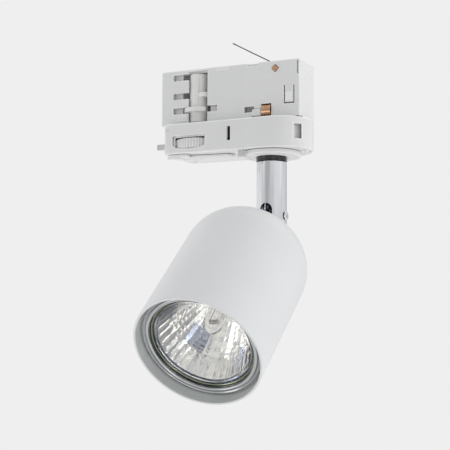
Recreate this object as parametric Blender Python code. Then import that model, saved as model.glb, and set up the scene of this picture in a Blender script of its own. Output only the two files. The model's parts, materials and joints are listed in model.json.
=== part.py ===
# Track spotlight: a three-circuit track adapter, a chrome stem that swivels under it, and a white
# cylindrical head with a reflector lamp that tilts on the stem.
# Frame: +Z up, X along the track, the head faces -Y, origin on the swivel axis at the ledge plane
# where the adapter's cover meets the underside of the track.

import math

import bmesh
import bpy
from mathutils import Matrix, Vector


def mm(*values):
    """Millimetres as metres: one number, or several as a tuple."""
    metres = tuple(value * 0.001 for value in values)
    return metres if len(metres) > 1 else metres[0]


# Fits
GAP = mm(0.3)                    # between pieces that touch
RUN = mm(0.4)                    # between pieces that turn or slide on each other
CUT = mm(1.0)                    # how far a cutter passes the face it cuts
OVERLAP = mm(0.5)                # how far a joined shape reaches into the one it joins

# In-track housing, above the ledge
HOUSING_LEFT = mm(-57.5)
HOUSING_RIGHT = mm(19.0)
HOUSING_DEPTH = mm(19.0)
HOUSING_HEIGHT = mm(28.6)
HOUSING_WALL = mm(1.6)
FRONT_PLATE = mm(1.5)
EDGE_ROUND = mm(0.5)

# Cover below the ledge, with a round end around the swivel axis
COVER_LEFT = mm(-53.0)
COVER_DEPTH = mm(32.0)
COVER_HEIGHT = mm(15.6)
COVER_WALL = mm(1.4)
COVER_CORNER = mm(2.0)
COVER_END_CENTRE = mm(5.3)
LEDGE_THICK = mm(1.8)
BASE_THICK = mm(1.8)
COVER_OPENING = mm(-50.0, 14.0)  # ends of the opening between the cover and the housing
OPENING_EDGE = mm(3.3)           # from the housing's faces to the edges of that opening
SCREW_PLACES = (mm(-47.5, 9.5), mm(17.2, 0.0))
SCREW_RADIUS = mm(1.1)
SCREW_HEAD = mm(1.8)
SCREW_HEAD_THICK = mm(0.5)
SCREW_SINK = mm(0.15)             # from the base plate's underside to the head
BOSS_RADIUS = mm(2.2)

# Phase selector: drum, keys and thumbwheel on one upright axis
DRUM_X = mm(-38.6)
DRUM_SETBACK = mm(5.0)           # from the housing's front to the axis
DRUM_RADIUS = mm(4.7)
DRUM_NECK_Z = mm(1.6)            # below this the drum is thinner, to pass behind the front plate
DRUM_WINDOW = mm(-42.4, -31.4)
KEY_RADIUS = mm(7.6)
KEY_SPREAD = 52.0                # degrees to each side of a key's middle
KEY_ROOT = mm(3.2)
KEY_THICK = mm(2.2)
KEY_SHARES = (0.2308, 0.4965, 0.8357)  # undersides of the keys, as shares of the housing's height
KEY_CLEAR = mm(0.5)
KEY_SLOT_LEFT = mm(-51.1)
KEY_SLOT_RIGHT = mm(-25.9)       # only the lowest key's slot goes on to the right
WHEEL_RADIUS = mm(12.3)
WHEEL_THICK = mm(5.0)
WHEEL_ABOVE_BASE = mm(0.9)
WHEEL_RIBS = 40
RIB_DEPTH = mm(0.45)
WINDOW_HALF = mm(9.4)            # half width of the wheel's window
WINDOW_SHOULDER = mm(1.9)        # from the wheel's top to where the window's lower edge starts
WINDOW_ABOVE = mm(2.6)
WINDOW_BELOW = mm(1.3)

# Locking lever under the base, its shaft, and the lug that it turns into the track's groove
LEVER_X = mm(-22.9)
LEVER_Y = mm(-4.0)
LEVER_THICK = mm(1.1)
LEVER_FAR_END = mm(-51.5)
LEVER_NEAR_END = mm(-34.0)
LEVER_SIDES = mm(-15.0, -1.0)
LEVER_HUB_RADIUS = mm(4.0)
LEVER_GRIP = mm(8.0, 1.2, 1.0)   # length, width and height of the ridge to push
SHAFT_RADIUS = mm(2.0)
LUG_OUT = mm(1.7)                # how far the lug stands out of the housing's back
LUG_WIDTH = mm(4.6)
LUG_THICK = mm(1.4)
LUG_CORNER = mm(1.2)

# Release slider at the left end
SLIDER_INSIDE = mm(1.7)
SLIDER_REACH = mm(4.6)
SLIDER_WIDTH = mm(1.8)
SLIDER_HEIGHT = mm(2.8)
SLIDER_ABOVE_BASE = mm(1.2)

# Contacts, terminal block and earth leaf
CONTACT = mm(-1.4, 3.6, 1.6, 7.2)            # left, right, low and high
CONTACT_OUT = mm(1.1)
CONTACT_INSIDE = mm(4.6)                     # from the middle plane to the contact's inner end
CARRIER_LEFT = mm(-6.4)
CARRIER_HIGH = mm(5.2)
CARRIER_OUT = mm(0.7)
CARRIER_SLOT = mm(-10.9, -5.4, 3.7, 6.7)
UPPER_CONTACT_X = mm(5.95)
UPPER_CONTACT_DROP = mm(3.7)
UPPER_CONTACT_HALF = mm(1.8)
UPPER_CONTACT_OUT = mm(0.8)
UPPER_CONTACT_INSIDE = mm(2.0)
BLOCK_LOW = mm(-12.0, -5.6, 9.6)
BLOCK_HIGH = mm(2.2, 7.2)
BLOCK_DROP = mm(8.0)                         # from the housing's top to the terminal block's
EARTH_WIDTH = mm(5.0)
EARTH_THICK = mm(0.5)
EARTH_FOOT = mm(3.2)
EARTH_TIP = mm(-22.3)
EARTH_RISE = mm(14.3)                        # from the housing's top to the leaf's tip
EARTH_SLOT = mm(1.6, 2.6)                    # to the left and right of the foot

# Small features of the front plate
TOP_NOTCH = mm(-9.4, -3.3)
NOTCH_DROP = mm(2.2)
SNAP = mm(-26.7, -19.9)
SNAP_DROPS = mm(1.8, 0.5)                    # its lower and upper edge, below the housing's top
SNAP_OUT = mm(0.3)
END_SLOT = mm(17.4, 18.4)
END_SLOT_DROPS = mm(7.5, 0.8)
STOP_PAD = mm(-47.6, -42.9)
PAD_SHARES = (0.34, 0.80)        # low and high, as shares of the way up to the lowest key slot
PAD_OUT = mm(0.8)
TONGUE_SLIT = mm(10.6, 16.3, 6.6, 15.9)
SLIT_WIDTH = mm(0.8)
WEDGE = mm(11.8, 15.1, 7.9, 12.4)
WEDGE_OUT = mm(0.1, 1.1)                     # at its top and at its foot

# Windows of the cover
SIDE_SLIT = mm(-17.4, -15.5, -10.7, -3.5)
CORNER_NOTCH = mm(-52.2, -49.4, -4.6, -1.9)
NOTCH_DEPTH = mm(0.7)
END_WINDOW_LOW = mm(16.3, -13.0, -11.2)
END_WINDOW_HIGH = mm(19.3, -5.0, -3.9)

# Swivel: disc, collar, bush and the stack of washers on the nipple
DISC_RADIUS = mm(14.8)
DISC_THICK = mm(2.2)
DISC_EDGE = mm(0.3)
COLLAR_RADIUS = mm(7.8)
COLLAR_HEIGHT = mm(2.3)
COLLAR_EDGE = mm(0.2)
BUSH_RADIUS = mm(6.7)
BUSH_FLANGE = mm(1.5)
BUSH_FLANGE_RADIUS = mm(9.4)
STOP_THICK = mm(0.8)
STOP_RADIUS = mm(8.8)
STOP_TAB = mm(8.0, 12.2, 1.2)                # inner end, outer end and half width
STOP_POST_RADIUS = mm(1.0)
STOP_POST_REACH = mm(11.4)
STOP_POST_ABOVE = mm(0.4)
WASHER_THICK = mm(0.7)
WASHER_RADIUS = mm(8.2)
NUT_THICK = mm(3.0)
NUT_FLATS = mm(13.0)
NIPPLE_RADIUS = mm(4.8)
NIPPLE_BORE = mm(3.4)
NIPPLE_ABOVE_NUT = mm(3.0)
NIPPLE_PLUG = mm(6.6)

# Tab that hangs from the base
CATCH_LOW = mm(-12.0, -14.2)
CATCH_HIGH = mm(-8.2, -13.0)
CATCH_DROP = mm(3.4)

# Stem
STEM_RADIUS = mm(7.5)
STEM_WALL = mm(1.0)
STEM_LENGTH = mm(33.6)
STEM_SLOT_WIDTH = mm(6.4)
SLOT_ABOVE_PIVOT = mm(6.0)

# Tilt joint
PIVOT_ABOVE_END = mm(6.2)
PIVOT_RADIUS = mm(1.6)
SCREW_CAP_RADIUS = mm(2.6)
SCREW_CAP_EDGE = mm(0.3)
SCREW_CAP_THICK = mm(0.8)
SOCKET_RADIUS = mm(1.2)
PIVOT_NUT_FLATS = mm(5.5)
PIVOT_NUT_THICK = mm(2.2)
SPACER_RADIUS = mm(3.6)
TONGUE_THICK = mm(2.6)
TONGUE_WIDTH = mm(8.4)
TONGUE_FOOT = mm(6.0)
TONGUE_FOOT_THICK = mm(1.8)
TONGUE_FOOT_EDGE = mm(0.8)
HEAD_TILT = math.radians(49.5)               # from hanging straight down

# Lamp, the size that the head is made to hold
LAMP_RADIUS = mm(25.2)
LAMP_LENGTH = mm(52.5)                       # front to the back of the base, without pins
LAMP_WALL = mm(1.8)
LAMP_RIM = mm(3.0)
LAMP_BASE_RADIUS = mm(12.0)
LAMP_BASE_LENGTH = mm(15.0)
LAMP_NECK = mm(5.5)                          # radius of the reflector's opening at its back
GLASS_SEAT = mm(3.2)                         # depth of the cover glass's seat
CAPSULE_RADIUS = mm(4.4)
CAPSULE_DEPTH = mm(9.8)                      # from the lamp's front to the capsule's tip
PIN_SPACING = mm(10.0)
PIN_LENGTH = mm(6.0)
PIN_RADIUS = mm(1.2)
PIN_HEAD_RADIUS = mm(2.2)
PIN_HEAD_LENGTH = mm(2.0)

# Lampholder and bracket
HOLDER_RADIUS = mm(14.0)
HOLDER_HEIGHT = mm(16.1)
HOLDER_EDGE = mm(1.0)
HOLDER_SOCKET = mm(2.9)
HOLDER_SOCKET_DEPTH = mm(9.2)
CLIP_RADIUS = mm(2.4)
CLIP_THICK = mm(1.6)
CLIP_ABOVE_PIN = mm(0.6)
BRACKET_RISE = mm(7.2)
BRACKET_SHEET = mm(1.0)
BRACKET_WIDTH = mm(10.0)
BRACKET_GRIP = mm(9.0)                       # how far its arms reach down beside the holder
STUD_RADIUS = mm(2.4)
STUD_NUT_FLATS = mm(8.0)
STUD_NUT_THICK = mm(2.4)

# Head, measured from the pivot along its own axis
HEAD_WALL = mm(1.2)
HEAD_CLEAR = mm(3.8)                         # between the lamp and the wall
HEAD_BACK = mm(16.9)
DOME_SPACE = mm(6.6)                         # between the bracket and the back of the dome
DOME_DEPTH = mm(26.0)
LAMP_RECESS = mm(6.7)                        # rim of the head to the lamp's front
RIM_ROUND = mm(0.3)
SEAT_THICK = mm(1.7)
SEAT_CLEAR = mm(0.5)
RING_CLEAR = mm(0.8)
RING_LAP = mm(0.7)                           # how far the ring covers the lamp's edge
RING_THICK = mm(1.9)

LEAD_RADIUS = mm(0.9)
LEAD_SPACING = mm(1.5)                       # from the stem's axis

# Sides of the round pieces
HEAD_SIDES = 48
ROUND = 32
SMALL_ROUND = 24
TINY_ROUND = 16

# Places worked out from the sizes
HALF_HOUSING = HOUSING_DEPTH / 2
HALF_COVER = COVER_DEPTH / 2
FRONT = -HALF_HOUSING
PLATE_BACK = FRONT + FRONT_PLATE
HOUSING_BACK_INSIDE = HALF_HOUSING - HOUSING_WALL
DRUM_Y = FRONT + DRUM_SETBACK
KEY_LOWS = tuple(HOUSING_HEIGHT * share for share in KEY_SHARES)
BASE_LOW = -COVER_HEIGHT
BASE_HIGH = BASE_LOW + BASE_THICK
WHEEL_LOW = BASE_HIGH + WHEEL_ABOVE_BASE
WHEEL_TOP = WHEEL_LOW + WHEEL_THICK
DRUM_HIGH = HOUSING_HEIGHT - HOUSING_WALL - RUN
LUG_HIGH = DRUM_HIGH
LUG_LOW = LUG_HIGH - LUG_THICK
LUG_REACH = HALF_HOUSING + LUG_OUT - LEVER_Y
SLIDER_FRONT = -HALF_COVER + COVER_WALL + RUN
SLIDER_LOW = BASE_HIGH + SLIDER_ABOVE_BASE
BUSH_HIGH = BASE_HIGH + GAP + BUSH_FLANGE
STOP_LOW = BUSH_HIGH + GAP
WASHER_LOW = STOP_LOW + STOP_THICK + GAP
NUT_LOW = WASHER_LOW + WASHER_THICK + GAP
NIPPLE_TOP = NUT_LOW + NUT_THICK + NIPPLE_ABOVE_NUT
DISC_TOP = BASE_LOW - GAP
DISC_LOW = DISC_TOP - DISC_THICK
STEM_TOP = DISC_LOW - COLLAR_HEIGHT
STEM_BOTTOM = STEM_TOP - STEM_LENGTH
PIVOT_Z = STEM_BOTTOM + PIVOT_ABOVE_END
HEAD_INSIDE = LAMP_RADIUS + HEAD_CLEAR
HEAD_RADIUS = HEAD_INSIDE + HEAD_WALL
BRACKET_TOP = -(HEAD_BACK + DOME_SPACE)
HOLDER_HIGH = BRACKET_TOP - BRACKET_RISE
HOLDER_LOW = HOLDER_HIGH - HOLDER_HEIGHT
LAMP_BACK_Z = HOLDER_LOW - GAP
LAMP_FRONT_Z = LAMP_BACK_Z - LAMP_LENGTH
RIM_Z = LAMP_FRONT_Z - LAMP_RECESS
DOME_BASE_Z = -(HEAD_BACK + DOME_DEPTH)
DOME_INSIDE = -(HEAD_BACK + HEAD_WALL)
NECK_Z = LAMP_BACK_Z - LAMP_BASE_LENGTH - GAP
STUD_HOLE = STUD_RADIUS + GAP
FOOT_Z = -HEAD_BACK + GAP


# Shapes

def clear_scene():
    for old in list(bpy.data.objects):
        bpy.data.objects.remove(old, do_unlink=True)


def material(name, color, roughness, metallic=0.0, transmission=0.0):
    made = bpy.data.materials.new(name)
    made.use_nodes = True
    shader = made.node_tree.nodes["Principled BSDF"]
    shader.inputs["Base Color"].default_value = (*color, 1.0)
    shader.inputs["Roughness"].default_value = roughness
    shader.inputs["Metallic"].default_value = metallic
    shader.inputs["Transmission Weight"].default_value = transmission
    made.diffuse_color = (*color, 1.0)
    return made


def finish(name, bm, look, parent=None, smooth=True):
    """Turns a bmesh into a named object with its material."""
    bmesh.ops.recalc_face_normals(bm, faces=bm.faces)
    mesh = bpy.data.meshes.new(name)
    bm.to_mesh(mesh)
    bm.free()
    if smooth:
        mesh.shade_smooth()
        mesh.set_sharp_from_angle(angle=math.radians(35))
    made = bpy.data.objects.new(name, mesh)
    bpy.context.scene.collection.objects.link(made)
    made.parent = parent
    if look:
        mesh.materials.append(look)
    return made


def prism_mesh(outline, low, high, axis="Z"):
    """A bmesh of a closed outline in the plane across the axis, from low to high along it."""
    place = {
        "Z": lambda a, b, c: (a, b, c),
        "Y": lambda a, b, c: (a, c, b),
        "X": lambda a, b, c: (c, a, b),
    }[axis]
    bm = bmesh.new()
    face = bm.faces.new([bm.verts.new(place(a, b, low)) for a, b in outline])
    grown = bmesh.ops.extrude_face_region(bm, geom=[face])
    moved = [item for item in grown["geom"] if isinstance(item, bmesh.types.BMVert)]
    bmesh.ops.translate(bm, verts=moved, vec=place(0.0, 0.0, high - low))
    return bm


def prism(name, outline, low, high, look, axis="Z", parent=None):
    return finish(name, prism_mesh(outline, low, high, axis), look, parent)


def rectangle(left, right, low, high):
    return [(left, low), (right, low), (right, high), (left, high)]


def arc(x, y, radius, start, end, steps):
    """Points on an arc, both ends included, with the angles in degrees."""
    turns = [math.radians(start + (end - start) * i / steps) for i in range(steps + 1)]
    return [(x + radius * math.cos(turn), y + radius * math.sin(turn)) for turn in turns]


def circle(x, y, radius, sides=SMALL_ROUND):
    return arc(x, y, radius, 0.0, 360.0 * (sides - 1) / sides, sides - 1)


def box_mesh(lows, highs):
    return prism_mesh(rectangle(lows[0], highs[0], lows[1], highs[1]), lows[2], highs[2])


def block(name, lows, highs, look, bevel):
    bm = box_mesh(lows, highs)
    bmesh.ops.bevel(bm, geom=bm.edges[:], offset=bevel, segments=2, profile=0.5, affect="EDGES")
    return finish(name, bm, look)


def turned_mesh(profile, sides=ROUND, x=0.0, y=0.0):
    """A closed profile of (radius, height) points, spun round an upright axis."""
    bm = bmesh.new()
    verts = [bm.verts.new((radius, 0.0, height)) for radius, height in profile]
    edges = [
        bm.edges.new((verts[i - 1], verts[i]))
        for i in range(len(verts))
        if profile[i - 1][0] > 0 or profile[i][0] > 0
    ]
    bmesh.ops.spin(
        bm, geom=verts + edges, cent=(0, 0, 0), axis=(0, 0, 1), angle=math.tau,
        steps=sides, use_merge=True, use_duplicate=False,
    )
    bmesh.ops.remove_doubles(bm, verts=bm.verts, dist=1e-6)
    bmesh.ops.translate(bm, verts=bm.verts, vec=(x, y, 0.0))
    return bm


def turned(name, profile, look, sides=ROUND, parent=None, x=0.0, y=0.0):
    return finish(name, turned_mesh(profile, sides, x, y), look, parent)


def ring_profile(inner, outer, low, high, bevel=0.0):
    if not bevel:
        return [(inner, high), (outer, high), (outer, low), (inner, low)]
    return [
        (inner, high), (outer - bevel, high), (outer, high - bevel),
        (outer, low + bevel), (outer - bevel, low), (inner, low),
    ]


def disc_profile(radius, low, high, bevel=0.0):
    return [(0.0, high)] + ring_profile(0.0, radius, low, high, bevel)[1:-1] + [(0.0, low)]


def rod_mesh(radius, low, high, sides=SMALL_ROUND, x=0.0, y=0.0):
    """A plain upright rod, mostly to cut a hole with."""
    return turned_mesh(disc_profile(radius, low, high), sides, x, y)


def lead(name, points, look, parent=None):
    """A round lead through the points, with filled ends."""
    curve = bpy.data.curves.new(name, "CURVE")
    curve.dimensions = "3D"
    curve.bevel_depth = LEAD_RADIUS
    curve.bevel_resolution = 2
    curve.use_fill_caps = True
    spline = curve.splines.new("POLY")
    spline.points.add(len(points) - 1)
    for point, place in zip(spline.points, points):
        point.co = (*place, 1.0)
    curve.materials.append(look)
    made = bpy.data.objects.new(name, curve)
    bpy.context.scene.collection.objects.link(made)
    made.parent = parent


def boolean(target, bm, operation):
    """Cuts a bmesh out of an object, or joins it on, through a hidden helper."""
    helper = finish(f"{target.name}.{operation.lower()}", bm, None, target.parent, smooth=False)
    helper.hide_render = True
    helper.display_type = "WIRE"
    change = target.modifiers.new(operation.title(), "BOOLEAN")
    change.operation = operation
    change.solver = "EXACT"
    change.object = helper


def cut(target, *meshes):
    for bm in meshes:
        boolean(target, bm, "DIFFERENCE")


def join(target, *meshes):
    for bm in meshes:
        boolean(target, bm, "UNION")


def hex_outline(flats):
    return circle(0.0, 0.0, flats / 2 / math.cos(math.radians(30)), 6)


def hex_nut(name, flats, bore, low, high, look, parent=None):
    nut = prism(name, hex_outline(flats), low, high, look, parent=parent)
    cut(nut, rod_mesh(bore, low - CUT, high + CUT))


def cover_outline(inset=0.0):
    """Plan of the cover: two small corners at the left and a half circle at the right."""
    left = COVER_LEFT + inset
    half = HALF_COVER - inset
    corner = COVER_CORNER - inset / 2
    points = arc(left + corner, half - corner, corner, 90, 180, 4)
    points += arc(left + corner, corner - half, corner, 180, 270, 4)
    points += arc(COVER_END_CENTRE, 0.0, half, -90, 90, ROUND)
    return points


def strip_outline(points, thick):
    """A thin bent strip seen from its edge: the line through the points, given a thickness."""
    line = [Vector(point) for point in points]
    one_side = []
    other_side = []
    for i, point in enumerate(line):
        along = line[min(i + 1, len(line) - 1)] - line[max(i - 1, 0)]
        across = Vector((-along.y, along.x)).normalized() * thick / 2
        one_side.append(tuple(point + across))
        other_side.append(tuple(point - across))
    return one_side + other_side[::-1]


def grown(box, clear):
    """Left, right, low and high of a box, with a clearance all round."""
    left, right, low, high = box
    return left - clear, right + clear, low - clear, high + clear


# Adapter

def track_housing(look):
    """In-track box, open at the front for the plate and at the bottom to the cover."""
    front = PLATE_BACK + GAP
    made = block(
        "track_housing", (HOUSING_LEFT, front, GAP), (HOUSING_RIGHT, HALF_HOUSING, HOUSING_HEIGHT),
        look, EDGE_ROUND,
    )
    ceiling = HOUSING_HEIGHT - HOUSING_WALL
    hollow = box_mesh(
        (HOUSING_LEFT + HOUSING_WALL, front - CUT, GAP - CUT),
        (HOUSING_RIGHT - HOUSING_WALL, HOUSING_BACK_INSIDE, ceiling),
    )
    contact_window = prism_mesh(
        rectangle(*grown(CONTACT, GAP)), HOUSING_BACK_INSIDE - CUT, HALF_HOUSING + CUT, "Y"
    )
    half = EARTH_WIDTH / 2 + GAP
    earth_slot = box_mesh(
        (EARTH_FOOT - EARTH_SLOT[0], -half, ceiling - CUT),
        (EARTH_FOOT + EARTH_SLOT[1], half, HOUSING_HEIGHT + CUT),
    )
    inside = HOUSING_BACK_INSIDE - LEVER_Y
    lug_swing = math.sqrt(LUG_REACH**2 - inside**2) + LUG_WIDTH / 2
    lug_slot = prism_mesh(
        rectangle(LEVER_X - LUG_WIDTH / 2 - RUN, LEVER_X + lug_swing + RUN, LUG_LOW - RUN, LUG_HIGH + RUN),
        HOUSING_BACK_INSIDE - CUT, HALF_HOUSING + CUT, "Y",
    )
    cut(made, hollow, contact_window, earth_slot, lug_slot)


def diamond(half):
    x = UPPER_CONTACT_X
    z = HOUSING_HEIGHT - UPPER_CONTACT_DROP
    return [(x - half, z), (x, z - half), (x + half, z), (x, z + half)]


def plate_windows():
    """Left, right, low and high of each plain window in the front plate."""
    top = HOUSING_HEIGHT
    left, right = DRUM_WINDOW
    windows = [(left, right, DRUM_NECK_Z - RUN, top - CUT)]
    for low in KEY_LOWS:
        end = KEY_SLOT_RIGHT if low == KEY_LOWS[0] else left + CUT
        windows.append((KEY_SLOT_LEFT, end, low - KEY_CLEAR, low + KEY_THICK + KEY_CLEAR))
    windows.append((CARRIER_LEFT - GAP, CONTACT[0], CONTACT[2] - GAP, CARRIER_HIGH + GAP))
    windows.append(grown(CONTACT, GAP))
    windows.append(CARRIER_SLOT)
    windows.append((*TOP_NOTCH, top - NOTCH_DROP, top + CUT))
    windows.append((*END_SLOT, top - END_SLOT_DROPS[0], top - END_SLOT_DROPS[1]))
    return windows


def front_plate(look):
    """Flat front of the in-track box, with the selector's window and the contact windows."""
    made = block(
        "front_plate", (HOUSING_LEFT, FRONT, GAP), (HOUSING_RIGHT, PLATE_BACK, HOUSING_HEIGHT),
        look, EDGE_ROUND * 0.8,
    )
    near = FRONT - CUT
    far = PLATE_BACK + CUT
    left, right, low, high = TONGUE_SLIT
    tongue_slit = [
        (left, high), (left, low), (right, low), (right, high), (right - SLIT_WIDTH, high),
        (right - SLIT_WIDTH, low + SLIT_WIDTH), (left + SLIT_WIDTH, low + SLIT_WIDTH),
        (left + SLIT_WIDTH, high),
    ]
    for window in plate_windows():
        cut(made, prism_mesh(rectangle(*window), near, far, "Y"))
    cut(made, prism_mesh(diamond(UPPER_CONTACT_HALF + GAP), near, far, "Y"))
    cut(made, prism_mesh(tongue_slit, near, far, "Y"))
    left, right, low, high = WEDGE
    wedge = [
        (FRONT + OVERLAP, high), (FRONT - WEDGE_OUT[0], high),
        (FRONT - WEDGE_OUT[1], low), (FRONT + OVERLAP, low),
    ]
    slot_low = KEY_LOWS[0] - KEY_CLEAR
    snap_low = HOUSING_HEIGHT - SNAP_DROPS[0]
    snap_high = HOUSING_HEIGHT - SNAP_DROPS[1]
    join(
        made,
        prism_mesh(wedge, left, right, "X"),
        box_mesh((SNAP[0], FRONT - SNAP_OUT, snap_low), (SNAP[1], FRONT + OVERLAP, snap_high)),
        prism_mesh(
            rectangle(*STOP_PAD, *(slot_low * share for share in PAD_SHARES)),
            FRONT - PAD_OUT, FRONT + OVERLAP, "Y",
        ),
    )


def wheel_window():
    """Flat-topped window with a round lower edge, as the thumbwheel's outline shows through it."""
    top = WHEEL_TOP + WINDOW_ABOVE
    shoulder = WHEEL_TOP - WINDOW_SHOULDER
    drop = shoulder - (WHEEL_LOW - WINDOW_BELOW)
    points = [(DRUM_X + WINDOW_HALF, top), (DRUM_X - WINDOW_HALF, top)]
    steps = 14
    for i in range(steps + 1):
        across = -math.cos(math.pi * i / steps)
        fullness = (1.0 - abs(across) ** 3) ** (1 / 3)
        points.append((DRUM_X + WINDOW_HALF * across, shoulder - drop * fullness))
    return points


def cover(look):
    """Lower shell, open at the bottom: its top is the ledge that meets the track, with a shallow
    seat for the housing."""
    made = prism("cover", cover_outline(), BASE_LOW, 0.0, look)
    cut(made, prism_mesh(cover_outline(COVER_WALL), BASE_LOW - CUT, -LEDGE_THICK))
    seat = HALF_HOUSING + GAP
    cut(made, box_mesh((HOUSING_LEFT, -seat, -GAP), (HOUSING_RIGHT + GAP, seat, CUT)))
    inside = HALF_HOUSING - OPENING_EDGE
    opening_left, opening_right = COVER_OPENING
    cut(made, box_mesh((opening_left, -inside, -LEDGE_THICK - CUT), (opening_right, inside, CUT)))
    cut(made, rod_mesh(DRUM_RADIUS + RUN, -LEDGE_THICK - CUT, CUT, ROUND, DRUM_X, DRUM_Y))
    near = -HALF_COVER - CUT
    far = -HALF_COVER + COVER_WALL + CUT
    slider_hole = box_mesh(
        (COVER_LEFT - CUT, SLIDER_FRONT - GAP, SLIDER_LOW - GAP),
        (COVER_LEFT + COVER_WALL + CUT, SLIDER_FRONT + SLIDER_WIDTH + GAP,
         SLIDER_LOW + SLIDER_HEIGHT + GAP),
    )
    cut(
        made,
        prism_mesh(wheel_window(), near, far, "Y"),
        prism_mesh(rectangle(*SIDE_SLIT), near, far, "Y"),
        prism_mesh(rectangle(*CORNER_NOTCH), near, -HALF_COVER + NOTCH_DEPTH, "Y"),
        box_mesh(END_WINDOW_LOW, END_WINDOW_HIGH),
        slider_hole,
    )
    for x, y in SCREW_PLACES:
        join(made, rod_mesh(BOSS_RADIUS, BASE_HIGH + GAP, -LEDGE_THICK + OVERLAP, SMALL_ROUND, x, y))
        cut(made, rod_mesh(SCREW_RADIUS + GAP, BASE_HIGH - CUT, -LEDGE_THICK - CUT, TINY_ROUND, x, y))


def base_plate(look):
    """Bottom of the cover, with holes for the bush, the lever's shaft and two screws, and a stop post."""
    made = prism("base_plate", cover_outline(COVER_WALL + GAP), BASE_LOW, BASE_HIGH, look)
    low = BASE_LOW - CUT
    high = BASE_HIGH + CUT
    cut(made, rod_mesh(BUSH_RADIUS + GAP, low, high, ROUND))
    cut(made, rod_mesh(SHAFT_RADIUS + RUN, low, high, SMALL_ROUND, LEVER_X, LEVER_Y))
    seat = BASE_LOW + SCREW_SINK + SCREW_HEAD_THICK + GAP
    for x, y in SCREW_PLACES:
        stepped = [
            (0.0, high), (SCREW_RADIUS + GAP, high), (SCREW_RADIUS + GAP, seat),
            (SCREW_HEAD + GAP, seat), (SCREW_HEAD + GAP, low), (0.0, low),
        ]
        cut(made, turned_mesh(stepped, TINY_ROUND, x, y))
    post_high = STOP_LOW + STOP_THICK + STOP_POST_ABOVE
    join(made, rod_mesh(STOP_POST_RADIUS, BASE_HIGH - OVERLAP, post_high, TINY_ROUND, STOP_POST_REACH))


def swivel_bush(look):
    """Fixed bearing of the stem, held in the base plate's hole."""
    bore = NIPPLE_RADIUS + RUN
    flange_low = BASE_HIGH + GAP
    profile = [
        (bore, BUSH_HIGH), (BUSH_FLANGE_RADIUS, BUSH_HIGH), (BUSH_FLANGE_RADIUS, flange_low),
        (BUSH_RADIUS, flange_low), (BUSH_RADIUS, BASE_LOW), (bore, BASE_LOW),
    ]
    turned("swivel_bush", profile, look)


def swivel_disc(look):
    turned("swivel_disc", ring_profile(NIPPLE_RADIUS + RUN, DISC_RADIUS, DISC_LOW, DISC_TOP, DISC_EDGE), look)


def contacts(copper, plastic):
    prism(
        "contact_upper", diamond(UPPER_CONTACT_HALF), FRONT - UPPER_CONTACT_OUT,
        PLATE_BACK + UPPER_CONTACT_INSIDE, copper, "Y",
    )
    left, right, low, high = CONTACT
    block(
        "contact_lower", (left, FRONT - CONTACT_OUT, low), (right, -CONTACT_INSIDE, high),
        copper, EDGE_ROUND,
    )
    block(
        "contact_neutral", (left, CONTACT_INSIDE, low), (right, HALF_HOUSING + CONTACT_OUT, high),
        copper, EDGE_ROUND,
    )
    block(
        "contact_carrier", (CARRIER_LEFT, FRONT - CARRIER_OUT, low),
        (left - GAP, -CONTACT_INSIDE, CARRIER_HIGH), plastic, EDGE_ROUND * 0.6,
    )


def earth_spring(look):
    """Thin leaf that leaves the top of the housing on a slant and presses on the track's roof."""
    foot = EARTH_FOOT
    top = HOUSING_HEIGHT
    slope = EARTH_RISE / (foot - EARTH_TIP)
    line = [
        (foot + mm(1.4), top - mm(5.6)),
        (foot + mm(1.2), top - mm(1.2)),
        (foot - mm(1.0), top + mm(1.0) * slope),
        (EARTH_TIP, top + EARTH_RISE),
    ]
    prism("earth_spring", strip_outline(line, EARTH_THICK), -EARTH_WIDTH / 2, EARTH_WIDTH / 2, look, "Y")


def terminal_block(look):
    block("terminal_block", BLOCK_LOW, (*BLOCK_HIGH, HOUSING_HEIGHT - BLOCK_DROP), look, EDGE_ROUND * 0.8)


def base_screws(look):
    top = -LEDGE_THICK - CUT - GAP
    head_low = BASE_LOW + SCREW_SINK
    head_high = head_low + SCREW_HEAD_THICK
    for number, (x, y) in enumerate(SCREW_PLACES, 1):
        profile = [
            (0.0, top), (SCREW_RADIUS, top), (SCREW_RADIUS, head_high),
            (SCREW_HEAD, head_high), (SCREW_HEAD, head_low), (0.0, head_low),
        ]
        turned(f"base_screw_{number}", profile, look, TINY_ROUND, x=x, y=y)


def base_catch(look):
    """Small tab that hangs from the base in front of the swivel disc."""
    block(
        "base_catch", (*CATCH_LOW, BASE_LOW - CATCH_DROP), (*CATCH_HIGH, BASE_LOW - GAP),
        look, EDGE_ROUND / 2,
    )


# Pieces that the user moves on the adapter

def key_mesh(low, turn):
    """A key of the selector: a sector of a disc, turned about the drum's axis."""
    outline = arc(0.0, 0.0, KEY_RADIUS, -90.0 - KEY_SPREAD, -90.0 + KEY_SPREAD, 12)
    outline += [(KEY_ROOT, 0.0), (-KEY_ROOT, 0.0)]
    bm = prism_mesh(outline, low, low + KEY_THICK)
    place = Matrix.Translation((DRUM_X, DRUM_Y, 0)) @ Matrix.Rotation(math.radians(turn), 4, "Z")
    bmesh.ops.transform(bm, matrix=place, verts=bm.verts)
    return bm


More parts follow.
